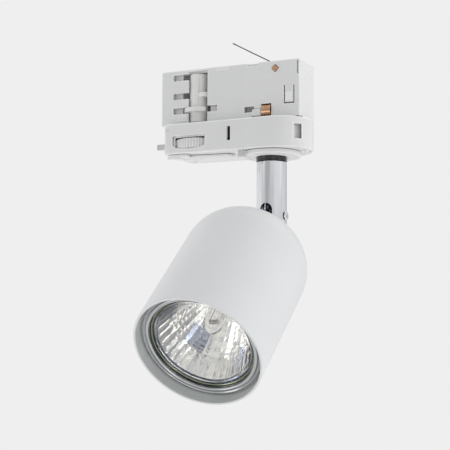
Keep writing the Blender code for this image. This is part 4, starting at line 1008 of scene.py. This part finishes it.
def makeWheel():
    low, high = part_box("selector_wheel")
    axis = (low + high) / 2
    radius = (high.x - low.x) / 2
    count, chamfer = selector["ribs"], selector["chamfer"]
    levels = ((low.z, -chamfer), (low.z + chamfer, 0.0), (high.z - chamfer, 0.0), (high.z, -chamfer))
    total = count * selector["perRib"]
    bm = bmesh.new()
    rings = []
    for height, inset in levels:
        depth = selector["ribDepth"] * (1.0 if inset == 0 else selector["rimShare"])
        ring = []
        for i in range(total):
            turn = math.tau * i / total
            wave = abs(math.sin(turn * count / 2)) ** selector["ribPower"]     # round ribs, narrow grooves
            reach = radius + inset - depth * (1.0 - wave)
            x, y = axis.x + reach * math.cos(turn), axis.y + reach * math.sin(turn)
            ring.append(bm.verts.new((x, y, height)))
        rings.append(ring)
    for lower, upper in zip(rings, rings[1:]):
        for i in range(total):
            bm.faces.new((lower[i], lower[(i + 1) % total], upper[(i + 1) % total], upper[i]))
    bm.faces.new(rings[0][::-1])
    bm.faces.new(rings[-1])
    bmesh.ops.recalc_face_normals(bm, faces=bm.faces)
    wheel = pieceFrom("selectorWheel", bm, made["ivoryPlastic"], 40)
    inner, outer = selector["ringGroove"]
    over, deep = high.z + pastFace, high.z - selector["ringDepth"]
    groove = [(inner, over), (outer, over), (outer, deep), (inner, deep)]
    shaped(wheel, [spun(groove, 96, axis.x, axis.y)])
    settled(wheel, "selector", "grey_plastic", "selector_wheel")


# the lock lever under the cover, with its lug
lever = {
    "thick": 1.1 * mm, "bend": -34.0 * mm, "hub": 4.0 * mm, "gripLong": 8.0 * mm, "gripWide": 1.2 * mm,
    "grooves": 5, "firstGroove": 1.4, "groovePitch": 1.3, "grooveWidth": 0.5 * mm, "grooveLong": 3.0 * mm,
    "recess": (-46.5, -33.0, -9.5, -4.5), "recessCorner": 2.0 * mm, "cutDepth": 0.35 * mm,
    "lugChamfer": 1.2 * mm, "edge": 0.2 * mm,
}


def makeLever():
    low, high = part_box("lock_lever")
    hub = middleOf("lever_shaft")
    under = high.z - lever["thick"]
    near = lever["bend"]
    outline = rounded([
        (low.x, high.y - 3.0 * mm, 2.0 * mm), (low.x, low.y, 2.5 * mm), (near, low.y, 5.0 * mm),
    ])
    outline += arcPoints(hub.x, hub.y, lever["hub"], -110, 90, 30)
    outline += [(near, -1.0 * mm)]
    body = pieceFrom("lockLever", extruded(outline, under, high.z), made["whitePlastic"])
    grip = block(
        (low.x + 0.4 * mm, low.y + 0.2 * mm, low.z),
        (low.x + lever["gripLong"], low.y + lever["gripWide"], under + 0.4 * mm),
    )
    shaped(body, [grip], "UNION")
    starts = [
        low.x + (lever["firstGroove"] + lever["groovePitch"] * i) * mm for i in range(lever["grooves"])
    ]
    grooves = [
        block(
            (x, low.y - pastFace, low.z - 0.1 * mm),
            (x + lever["grooveWidth"], low.y + lever["grooveLong"], low.z + lever["cutDepth"]),
        )
        for x in starts
    ]
    outline = box4(*inMm(lever["recess"]), lever["recessCorner"])
    recess = extruded(outline, under - pastFace, under + lever["cutDepth"])
    shaped(body, [*grooves, recess])
    settled(softEdges(body, lever["edge"], 3, 40), "lever", "white_plastic", "lock_lever")
    low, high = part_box("lock_lug")
    half = (high.x - low.x) / 2
    bar = arcPoints(hub.x, hub.y, half, 180, 360, 24)
    chamfer = lever["lugChamfer"]
    bar += [(high.x, high.y), (low.x + chamfer, high.y), (low.x, high.y - chamfer)]
    lug = pieceFrom("lockLug", extruded(bar, low.z, high.z), made["ivoryPlastic"])
    settled(softEdges(lug, lever["edge"], 3), "lever", "white_plastic", "lock_lug")


slider = {"grooves": 3, "first": 0.5, "pitch": 0.9, "width": 0.35, "depth": 0.22 * mm, "edge": 0.2 * mm}


def makeSlider():
    low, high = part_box("release_slider")
    body = pieceFrom("releaseSlider", block(low, high), made["greyPlastic"])
    grooves = []
    for i in range(slider["grooves"]):
        start = slider["first"] + slider["pitch"] * i
        grooves.append(block(
            (low.x + start * mm, low.y - pastFace, low.z - pastFace),
            (low.x + (start + slider["width"]) * mm, low.y + slider["depth"], high.z + pastFace),
        ))
    shaped(body, grooves)
    settled(softEdges(body, slider["edge"], 3), "slider", "grey_plastic", "release_slider")


# the stem and its collar
stem = {
    "wall": 1.0 * mm, "slotHalf": 3.2 * mm, "slotAbovePivot": 6.0 * mm, "edge": 0.22 * mm,
    "endRound": 0.35 * mm, "pivotHole": 1.9 * mm,
    "collarBore": 5.1 * mm, "collarWaist": 0.35 * mm, "collarLip": 0.55 * mm,
}


def makeStem():
    low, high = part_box("stem_tube")
    radius = high.x
    bore = radius - stem["wall"]
    profile = rounded([
        (bore, high.z, 0.0), (radius, high.z, stem["endRound"]),
        (radius, low.z, stem["endRound"]), (bore, low.z, 0.2 * mm),
    ])
    tube = pieceFrom("stemTube", spun(profile, 144), made["chromePlate"])
    half = stem["slotHalf"]
    slot = arcPoints(0.0, pivot.z + stem["slotAbovePivot"] - half, half, 0, 180, 32)
    slot += [(-half, low.z - pastFace), (half, low.z - pastFace)]
    hole = arcPoints(0.0, pivot.z, stem["pivotHole"], 0, 350, 35)
    shaped(tube, [
        extruded(slot, -radius - pastFace, 0.0, "Y"),
        extruded(hole, -radius - pastFace, radius + pastFace, "X"),
    ])
    settled(softEdges(tube, stem["edge"] / 2, 2, 42), "stem", "chrome", "stem_tube")

    low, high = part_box("stem_collar")
    bore, waist, lip = stem["collarBore"], stem["collarWaist"], stem["collarLip"]
    profile = rounded([
        (bore, high.z, 0.0), (high.x, high.z, 0.3 * mm), (high.x, high.z - lip, 0.15 * mm),
        (high.x - waist, (low.z + high.z) / 2, 0.3 * mm), (high.x, low.z + lip, 0.15 * mm),
        (high.x, low.z, 0.3 * mm), (bore, low.z, 0.0),
    ])
    collar = pieceFrom("stemCollar", spun(profile, 128), made["darkChrome"])
    settled(collar, "stem", "dark_chrome", "stem_collar")


def alongX(bm):
    lay = Matrix.Translation((0, 0, pivot.z)) @ Matrix.Rotation(math.radians(90), 4, "Y")
    bmesh.ops.transform(bm, matrix=lay, verts=bm.verts)
    return bm


screw = {"shank": 1.6 * mm, "cap": 2.3 * mm, "capThick": 0.5 * mm, "offTube": 0.3 * mm, "socket": 1.1 * mm}


def makePivot():
    low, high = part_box("pivot_screw")
    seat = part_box("stem_tube")[1].x + screw["offTube"]
    shank, cap, top = screw["shank"], screw["cap"], seat + screw["capThick"]
    profile = rounded([
        (0.0, top, 0.0), (cap * 0.8, top, 0.5 * mm), (cap, top - 0.25 * mm, 0.15 * mm), (cap, seat, 0.1 * mm),
        (shank, seat, 0.0), (shank, low.x, 0.3 * mm), (0.0, low.x, 0.0),
    ])
    bolt = pieceFrom("pivotScrew", alongX(spun(profile, 64)), made["chromePlate"])
    socket = alongX(rod(screw["socket"], seat + 0.1 * mm, high.x + pastFace, 6))
    settled(softEdges(shaped(bolt, [socket]), 0.08 * mm, 2, 40), "stem", "chrome", "pivot_screw")
    low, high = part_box("pivot_nut")
    radius = (high.z - low.z) / 2
    turns = [math.radians(60 * i) for i in range(6)]
    flats = [(radius * math.cos(turn), radius * math.sin(turn)) for turn in turns]
    nut = pieceFrom("pivotNut", alongX(extruded(flats, low.x, high.x)), made["zincSteel"])
    shaped(nut, [alongX(rod(stem["pivotHole"], low.x - pastFace, high.x + pastFace, 32))])
    settled(softEdges(nut, 0.2 * mm, 2), "stem", "steel", "pivot_nut")


# the head's shell
head = {
    "domeDepth": 26.0 * mm, "wall": 1.2 * mm, "rimRound": 0.55 * mm, "hole": 2.7 * mm, "sides": 192,
    "seatBore": 25.7 * mm, "seatThick": 1.7 * mm, "innerShadeAbove": 5.0 * mm, "innerShadeFromRim": 0.25 * mm,
}
tongue = {"half": 4.2 * mm, "thick": 1.3 * mm, "offShell": 0.35 * mm, "footHigh": 1.9 * mm, "shank": 2.4 * mm}


def makeTongue():
    low, high = headBox("hinge_tongue")
    half, thick, shank = tongue["half"], tongue["thick"], tongue["shank"]
    footLow = headBox("head_shell")[1].z + tongue["offShell"]
    footHigh = footLow + tongue["footHigh"]
    narrow, taper, rooted = half * 0.86, footLow + 3.0 * mm, footLow + 0.5 * mm
    outline = arcPoints(0.0, 0.0, half, 0, 180, 32)
    outline += [(-half, taper), (-narrow, rooted), (narrow, rooted), (half, taper)]
    body = pieceFrom("hingeTongue", extruded(outline, -thick, thick, "X"), made["chromePlate"])
    foot = high.x
    profile = rounded([
        (0.0, footHigh, 0.0), (foot * 0.62, footHigh, 1.0 * mm), (foot, footLow + 1.1 * mm, 0.8 * mm),
        (foot, footLow, 0.2 * mm), (shank, footLow, 0.0), (shank, low.z, 0.3 * mm), (0.0, low.z, 0.0),
    ])
    shaped(body, [spun(profile, 96)], "UNION")
    hole = arcPoints(0.0, 0.0, stem["pivotHole"], 0, 350, 35)
    shaped(body, [extruded(hole, -thick * 2, thick * 2, "X")])
    settled(softEdges(body, 0.22 * mm, 3, 40), "head", "chrome", "hinge_tongue", place=headPlace)


def domeLine(radius, depth, base, start, end, steps):
    turns = [start + (end - start) * i / steps for i in range(steps + 1)]
    return [(radius * math.sin(turn), base + depth * math.cos(turn), 0.0) for turn in turns]


def makeShell():
    low, high = headBox("head_shell")
    radius, wall = high.x, head["wall"]
    inner = radius - wall
    hole, depth = head["hole"], head["domeDepth"]
    base = high.z - depth * math.cos(math.asin(hole / radius))
    lampLow = headBox("lamp_reflector")[0].z
    seatBore, seatHigh = head["seatBore"], lampLow + head["seatThick"]
    lip = head["rimRound"]
    profile = domeLine(radius, depth, base, math.asin(hole / radius), math.pi / 2, 48)
    profile += [(radius, low.z, lip), (inner, low.z, lip)]
    profile += [(inner, lampLow, 0.3 * mm), (seatBore, lampLow, 0.3 * mm)]
    profile += [(seatBore, seatHigh, 0.2 * mm), (inner, seatHigh, 0.3 * mm)]
    profile += domeLine(inner, depth - wall, base, math.pi / 2, math.asin(hole / inner), 32)
    shell = pieceFrom("headShell", spun(rounded(profile, 6), head["sides"]), made["powderCoat"])
    shell.data.materials.append(made["innerCoatPaintedShade"])
    near = 0.2 * mm
    for face in shell.data.polygons:    # painted shade inside the rim: the darker coat, from just above the rim
        reach, height = face.center.xy.length, face.center.z
        inside = reach < inner + near and low.z + head["innerShadeFromRim"] < height < base + head["innerShadeAbove"]
        facing = face.normal.xy.dot(face.center.xy) < 0 or reach < inner - near
        face.material_index = 1 if inside and facing else 0
    settled(shell, "head", "white_paint", "head_shell", place=headPlace)


ring = {
    "sides": 192, "lines": 3, "lineDepth": 0.16 * mm, "lineWidth": 0.34 * mm, "lineTop": 0.95 * mm,
    "overLamp": 0.7 * mm,
}


def makeRing():
    low, high = headBox("retaining_ring")
    inner = headBox("lamp_reflector")[1].x - ring["overLamp"]
    outer = high.x
    profile = [(inner, high.z, 0.15 * mm), (outer, high.z, 0.15 * mm), (outer, high.z - 0.9 * mm, 0.25 * mm)]
    x = outer - 0.5 * mm
    top = high.z - ring["lineTop"]
    for _ in range(ring["lines"]):
        profile.append((x, top, 0.08 * mm))
        profile.append((x - ring["lineWidth"] / 2, top - ring["lineDepth"], 0.12 * mm))
        x -= ring["lineWidth"]
    profile += [(x, high.z - 1.0 * mm, 0.1 * mm), (x - 0.5 * mm, low.z + 0.1 * mm, 0.5 * mm)]
    profile += [(inner + 0.45 * mm, low.z, 0.5 * mm), (inner, low.z + 0.7 * mm, 0.4 * mm)]
    # painted shade: the ring takes the darker chrome
    piece = pieceFrom("retainingRing", spun(rounded(profile, 6), ring["sides"]), made["ringChromePaintedShade"])
    settled(piece, "head", "chrome", "retaining_ring", place=headPlace)


# the lamp: zones of tiles round the neck, then long flutes out to the mouth
lamp = {
    "wall": 1.8 * mm, "neck": 5.5 * mm, "seat": 3.2 * mm, "mouthLip": 0.9 * mm, "sectors": 44, "columns": 6,
    "tileZones": 13, "tileShare": 0.74, "tileRows": 3, "tileBulge": 0.07 * mm,
    # painted reflection: a patch of near-black facets where a dark reflection falls in the mirror
    "darkReflectionSectors": (15, 19), "darkReflectionZones": (8, 12),
    "fluteRows": 8, "fluteBulge": 0.15 * mm, "fluteWave": 0.05, "seed": 11,
    "rimEdge": 0.3 * mm, "rimBevel": 0.5 * mm, "rimHigh": 3.0 * mm, "shoulder": 12.5 * mm, "backSteps": 10,
}


def bowlPoint(share, neckZ, seatZ, mouth):
    radius = math.sqrt(lamp["neck"] ** 2 + (mouth**2 - lamp["neck"] ** 2) * share)
    return radius, neckZ + (seatZ - neckZ) * share


def tileShares():
    zones = lamp["tileZones"]
    return [lamp["tileShare"] * (i / zones) ** 1.35 for i in range(zones + 1)]


def makeReflector():
    low, high = headBox("lamp_reflector")
    outer = high.x
    front = low.z
    bore = outer - lamp["wall"]
    mouth = bore - lamp["mouthLip"]
    neckZ, seatZ = high.z - lamp["wall"], front + lamp["seat"]
    draw = random.Random(lamp["seed"])
    bm = bmesh.new()
    cast = bm.faces.layers.float.new("facetCastAndDarkReflection")
    sectors, columns = lamp["sectors"], lamp["columns"]
    total = sectors * columns

    def ringAt(radius, height, lifts=None):
        verts = []
        for i in range(total):
            across = (i % columns) / columns
            reach = radius - (lifts[i // columns] * 4 * across * (1 - across) if lifts else 0.0)
            turn = math.tau * i / total
            verts.append(bm.verts.new((reach * math.cos(turn), reach * math.sin(turn), height)))
        return verts

    def tiled(share, lifts=None):
        return ringAt(*bowlPoint(share, neckZ, seatZ, mouth), lifts)

    rings, tints = [], []
    shares = tileShares()
    for first, last in zip(shares, shares[1:]):
        bulges = [lamp["tileBulge"] * draw.uniform(0.2, 1.8) for _ in range(sectors)]
        tint = [draw.uniform(0.6, 1.0) for _ in range(sectors)]
        # painted reflection: the facets of this patch are made nearly black
        if lamp["darkReflectionZones"][0] <= shares.index(first) < lamp["darkReflectionZones"][1]:
            for sector in range(*lamp["darkReflectionSectors"]):
                tint[sector] = draw.uniform(0.0, 0.12)
        for row in range(lamp["tileRows"]):
            part = row / lamp["tileRows"]
            dome = 4 * part * (1 - part)
            rings.append(tiled(first + (last - first) * part, [bulge * dome for bulge in bulges]))
            tints.append(tint)
    bulges = [lamp["fluteBulge"] * draw.uniform(0.55, 1.25) for _ in range(sectors)]
    phases = [draw.uniform(0.0, math.tau) for _ in range(sectors)]
    tint = [draw.uniform(0.62, 1.0) for _ in range(sectors)]
    rows = lamp["fluteRows"]
    for row in range(rows + 1):
        share = shares[-1] + (1.0 - shares[-1]) * row / rows
        wave = [
            bulge * (1 + lamp["fluteWave"] * math.sin(phase + 5.0 * share))
            for bulge, phase in zip(bulges, phases)
        ]
        rings.append(tiled(share, wave if row < rows else None))
        tints.append(tint)

    def joined(upper, lower):
        # the faces between two rings
        pairs = [(i, (i + 1) % total) for i in range(total)]
        return [bm.faces.new((upper[a], upper[b], lower[b], lower[a])) for a, b in pairs]

    for upper, lower, tint in zip(rings, rings[1:], tints):
        for i, face in enumerate(joined(upper, lower)):
            face[cast] = tint[i // columns]
    # the seat of the glass, the rim and the smooth outside close the body
    edge, bevel, shoulder = lamp["rimEdge"], lamp["rimBevel"], lamp["shoulder"]
    rimTop, steps = front + lamp["rimHigh"], lamp["backSteps"]
    outside = [
        (bore, seatZ), (bore, front + edge), (bore + edge, front), (outer - bevel, front),
        (outer, front + bevel), (outer, rimTop),
    ]
    for i in range(steps + 1):
        share = 1.0 - i / steps
        radius = math.sqrt(shoulder**2 + ((outer - bevel) ** 2 - shoulder**2) * share)
        outside.append((radius, high.z + (rimTop - high.z) * share))
    outside.append((lamp["neck"], high.z))
    last = rings[-1]
    for radius, height in outside:
        fresh = ringAt(radius, height)
        joined(last, fresh)
        last = fresh
    joined(last, rings[0])
    bmesh.ops.recalc_face_normals(bm, faces=bm.faces)
    piece = pieceFrom("lampReflector", bm, made["facetMirror"], 60)
    markFacetEdges(piece, neckZ, seatZ, mouth)
    settled(piece, "head", "reflector", "lamp_reflector", place=headPlace)


def markFacetEdges(piece, neckZ, seatZ, mouth):
    # each facet keeps its own shading, so the edges between facets are sharp
    sectors, columns = lamp["sectors"], lamp["columns"]
    heights = [bowlPoint(share, neckZ, seatZ, mouth)[1] for share in tileShares()]
    bm = bmesh.new()
    bm.from_mesh(piece.data)
    pitch = math.tau / sectors
    spare = 0.01 * mm
    for edge in bm.edges:
        a, b = (vert.co for vert in edge.verts)
        if max(a.xy.length, b.xy.length) > mouth + spare or min(a.z, b.z) < seatZ - spare:
            continue
        level = abs(a.z - b.z) < 1e-7
        if level and any(abs(a.z - height) < 1e-6 for height in heights):
            edge.smooth = False
        turns = [math.atan2(point.y, point.x) / pitch for point in (a, b)]
        if not level and all(abs(turn - round(turn)) < 0.2 / columns for turn in turns):
            edge.smooth = False
    bm.to_mesh(piece.data)
    bm.free()


pane = {
    "sides": 160, "dish": 0.15 * mm, "beadGap": 0.15 * mm, "beadIn": 0.55 * mm, "beadUp": 0.15 * mm,
    "beadDown": 0.12 * mm, "beadRound": 0.1 * mm,
}


def makeLampGlass():
    low, high = headBox("lamp_glass")
    radius = high.x
    profile = rounded([
        (0.0, high.z, 0.0), (radius, high.z, 0.4 * mm), (radius, low.z, 0.5 * mm),
        (radius - 1.6 * mm, low.z, 0.2 * mm), (radius - 1.9 * mm, low.z + pane["dish"], 0.2 * mm),
        (0.0, low.z + pane["dish"], 0.0),
    ])
    glass = pieceFrom("lampGlass", spun(profile, pane["sides"]), made["paneGlass"])
    settled(glass, "head", "clear_glass", "lamp_glass", place=headPlace)
    rimLow, rimHigh = headBox("lamp_reflector")
    inner, outer = radius + pane["beadGap"], rimHigh.x - pane["beadIn"]
    over, under = rimLow.z + pane["beadUp"], rimLow.z - pane["beadDown"]
    bead = box4(inner, outer, under, over, pane["beadRound"])
    bead = pieceFrom("glassBead", spun(bead, pane["sides"]), made["rimGlass"])
    settled(bead, "head", "clear_glass", place=headPlace)


burner = {
    "pinch": 7.0 * mm, "neckShare": 0.9, "turns": 9, "perTurn": 14, "coilLength": 3.6 * mm,
    "coilRadius": 0.75 * mm, "aboveTip": 5.6 * mm, "legSpread": 1.9 * mm, "legStart": 0.6 * mm,
    "legTop": 2.6 * mm, "wireRadius": 0.11 * mm,
}


def makeBurner():
    low, high = headBox("lamp_capsule")
    radius, tip, top = high.x, low.z, high.z
    pinch = top - burner["pinch"]
    neck = radius * burner["neckShare"]
    profile = [(0.0, top, 0.0), (neck, top, 0.3 * mm), (neck, pinch, 1.0 * mm)]
    profile.append((radius, pinch - 1.5 * mm, 1.0 * mm))
    profile += [(x, tip + radius + z, 0.0) for x, z in arcPoints(0.0, 0.0, radius, 0, -90, 16)]
    capsule = pieceFrom("burnerCapsule", spun(rounded(profile, 4), 72), made["burnerGlass"])
    settled(capsule, "head", "clear_glass", "lamp_capsule", place=headPlace)
    turns, perTurn = burner["turns"], burner["perTurn"]
    coil, spread = burner["coilRadius"], burner["legSpread"]
    middle = tip + burner["aboveTip"]
    points = []
    for i in range(turns * perTurn + 1):
        turn = math.tau * i / perTurn
        along = burner["coilLength"] * (i / (turns * perTurn) - 0.5)
        points.append((along, coil * math.cos(turn), middle + coil * math.sin(turn)))
    legs = (pinch - burner["legTop"], middle + burner["legStart"])
    line = [(-spread, 0.0, height) for height in legs] + points
    line += [(spread, 0.0, height) for height in reversed(legs)]
    settled(wire("filament", line, burner["wireRadius"], made["tungsten"]), "head", "steel", place=headPlace)
    # the cement that holds the burner in the neck
    inner, outer, over = radius * 0.95, lamp["neck"] - 0.1 * mm, top + 0.6 * mm
    collar = spun(rounded([
        (inner, over, 0.0), (outer, over, 0.0),
        (outer, top - 0.9 * mm, 0.3 * mm), (inner, top - 0.7 * mm, 0.3 * mm),
    ]), 72)
    settled(pieceFrom("burnerCement", collar, made["steatite"]), "head", "ceramic", place=headPlace)


def wire(name, points, radius, finish):
    curve = bpy.data.curves.new(name, "CURVE")
    curve.dimensions = "3D"
    curve.bevel_depth = radius
    curve.bevel_resolution = 2
    curve.use_fill_caps = True
    spline = curve.splines.new("POLY")
    spline.points.add(len(points) - 1)
    for point, where in zip(spline.points, points):
        point.co = (*where, 1.0)
    curve.materials.append(finish)
    piece = bpy.data.objects.new(name, curve)
    bpy.context.scene.collection.objects.link(piece)
    return piece


# pieces whose CAD shape is right: a finish, and softened edges
kept = {
    "greyPlastic": ("swivel_bush", "terminal_block"),
    "zincSteel": (
        "base_screw_1", "base_screw_2", "lever_shaft", "stem_nipple", "nipple_nut", "stop_washer",
        "tilt_spacer_left", "tilt_spacer_right", "dome_nut", "holder_bracket", "bracket_nut",
        "lamp_pin_left", "lamp_pin_right",
    ),
    "springSteel": ("spring_washer",),
    "steatite": ("lampholder", "lamp_base"),
    "clipBrass": ("contact_clip_left", "contact_clip_right"),
    "brownSleeve": ("adapter_lead_live", "stem_lead_live", "head_lead_live"),
    "blueSleeve": ("adapter_lead_neutral", "stem_lead_neutral", "head_lead_neutral"),
}


def dressKept():
    for name, finish in [(name, finish) for finish, names in kept.items() for name in names]:
        node = frame["nodes"][name]
        node.data.materials.clear()
        node.data.materials.append(made[finish])
        node.data.shade_smooth()
        for label in ("custom_normal", "sharp_edge"):
            if label in node.data.attributes:
                node.data.attributes.remove(node.data.attributes[label])
        join = node.modifiers.new("join", "WELD")
        join.merge_threshold = 0.001 * mm
        soft = node.modifiers.new("edges", "BEVEL")
        soft.width = 0.12 * mm
        soft.segments = 2
        soft.limit_method = "ANGLE"
        soft.angle_limit = math.radians(35)
        soft.harden_normals = True


# the view and the lights
camera = {
    "place": (0.2585, -0.5877, -0.1263), "turn": 25.81, "lookUp": 6.59, "roll": 0.3,
    "lens": 104.0, "sensor": 36.0,
}
studio = {
    "floor": -0.42, "floorSize": 6.0, "floorThick": 0.01, "floorColour": 0.20, "floorGlow": 0.72,
    "backdrop": 0.863, "tint": (0.98, 0.988, 1.0), "surround": 0.46, "sides": 0.30, "above": 0.15,
    "behind": 0.06, "patches": 0.10, "patchSize": 2.2, "aim": (0.0, -0.03, -0.05),
    "lights": (
        # name, place, size, power, on surfaces, in reflections
        ("softboxRight", (0.90, 0.30, 0.10), (1.0, 1.4), 3.2, True, False),
        ("softboxLeft", (-0.90, 0.10, 0.05), (1.0, 1.4), 3.6, True, False),
        ("softboxBack", (0.10, 0.55, 0.90), (1.2, 0.8), 2.0, True, True),
        ("cardLeft", (-0.42, -0.50, -0.36), (0.22, 0.50), 0.9, False, True),
        ("cardRight", (0.40, -0.52, -0.30), (0.30, 0.30), 0.6, False, True),
        ("cardLow", (-0.05, -0.72, -0.40), (0.90, 0.44), 1.1, False, True),
    ),
}


def makeCamera():
    data = bpy.data.cameras.new("camera")
    data.lens, data.sensor_width = camera["lens"], camera["sensor"]
    data.clip_start, data.clip_end = 0.01, 50.0
    view = bpy.data.objects.new("camera", data)
    view.matrix_world = (
        Matrix.Translation(camera["place"])
        @ Matrix.Rotation(math.radians(camera["turn"]), 4, "Z")
        @ Matrix.Rotation(math.radians(90 + camera["lookUp"]), 4, "X")
        @ Matrix.Rotation(math.radians(camera["roll"]), 4, "Z")
    )
    bpy.context.scene.collection.objects.link(view)
    bpy.context.scene.camera = view


def makeStudio():
    scene = bpy.context.scene
    scene.view_settings.view_transform = "Standard"
    world = bpy.data.worlds.new("surround")
    world.use_nodes = True
    tree = world.node_tree
    shader = tree.nodes["Background"]
    place = tree.nodes.new("ShaderNodeTexCoord").outputs["Generated"]
    parts = tree.nodes.new("ShaderNodeSeparateXYZ")
    tree.links.new(place, parts.inputs[0])
    sides = sums(tree, "MULTIPLY", sums(tree, "ABSOLUTE", parts.outputs["X"]), studio["sides"])
    above = ranged(tree, parts.outputs["Z"], 0.2, 1.0, 0.0, studio["above"])
    behind = ranged(tree, parts.outputs["Y"], 0.0, 1.0, 0.0, studio["behind"])
    patches = tree.nodes.new("ShaderNodeTexNoise")
    patches.inputs["Scale"].default_value = studio["patchSize"]
    patches.inputs["Detail"].default_value = 1.0
    tree.links.new(place, patches.inputs["Vector"])
    patchy = ranged(tree, patches.outputs["Fac"], 0.35, 0.65, -studio["patches"], studio["patches"])
    glow = sums(tree, "ADD", sums(tree, "ADD", sums(tree, "ADD", sides, above), behind), patchy)
    glow = sums(tree, "ADD", glow, studio["surround"])
    seen = tree.nodes.new("ShaderNodeLightPath").outputs["Is Camera Ray"]
    tree.links.new(ranged(tree, seen, 0.0, 1.0, glow, studio["backdrop"]), shader.inputs["Strength"])
    tree.links.new(blended(tree, seen, studio["tint"], (1.0, 1.0, 1.0)), shader.inputs["Color"])
    scene.world = world
    half = studio["floorSize"] / 2
    top = studio["floor"]
    slab = extruded(box4(-half, half, -half, half), top - studio["floorThick"], top)
    floor = pieceFrom("floor", slab, None)
    pale = bpy.data.materials.new("paleFloor")
    pale.use_nodes = True
    shader = pale.node_tree.nodes["Principled BSDF"]
    shader.inputs["Base Color"].default_value = (*[studio["floorColour"]] * 3, 1.0)
    shader.inputs["Roughness"].default_value = 0.9
    shader.inputs["Specular IOR Level"].default_value = 0.1
    shader.inputs["Emission Color"].default_value = (1.0, 1.0, 1.0, 1.0)
    shader.inputs["Emission Strength"].default_value = studio["floorGlow"]
    floor.data.materials.append(pale)
    middle = Vector(studio["aim"])
    for name, place, size, power, lighting, reflected in studio["lights"]:
        data = bpy.data.lights.new(name, "AREA")
        data.shape = "RECTANGLE"
        data.size, data.size_y = size
        data.energy = power
        light = bpy.data.objects.new(name, data)
        light.location = place
        light.rotation_mode = "QUATERNION"
        light.rotation_quaternion = (middle - Vector(place)).to_track_quat("-Z", "Y")
        light.visible_camera = False
        light.visible_diffuse = lighting
        light.visible_glossy = reflected
        scene.collection.objects.link(light)


makeHousing()
makePlate()
makeChambers()
print("in-track box ready")
makeCover()
makeLiners()
makeBase()
makeDisc()
makeCatch()
makeContacts()
makeEarthLeaf()
print("adapter ready")
makeDrum()
makeWheel()
makeLever()
makeSlider()
print("selector, lever and slider ready")
makeStem()
makePivot()
makeTongue()
print("stem ready")
makeShell()
makeRing()
makeReflector()
makeLampGlass()
makeBurner()
print("head ready")
dressKept()
makeCamera()
makeStudio()
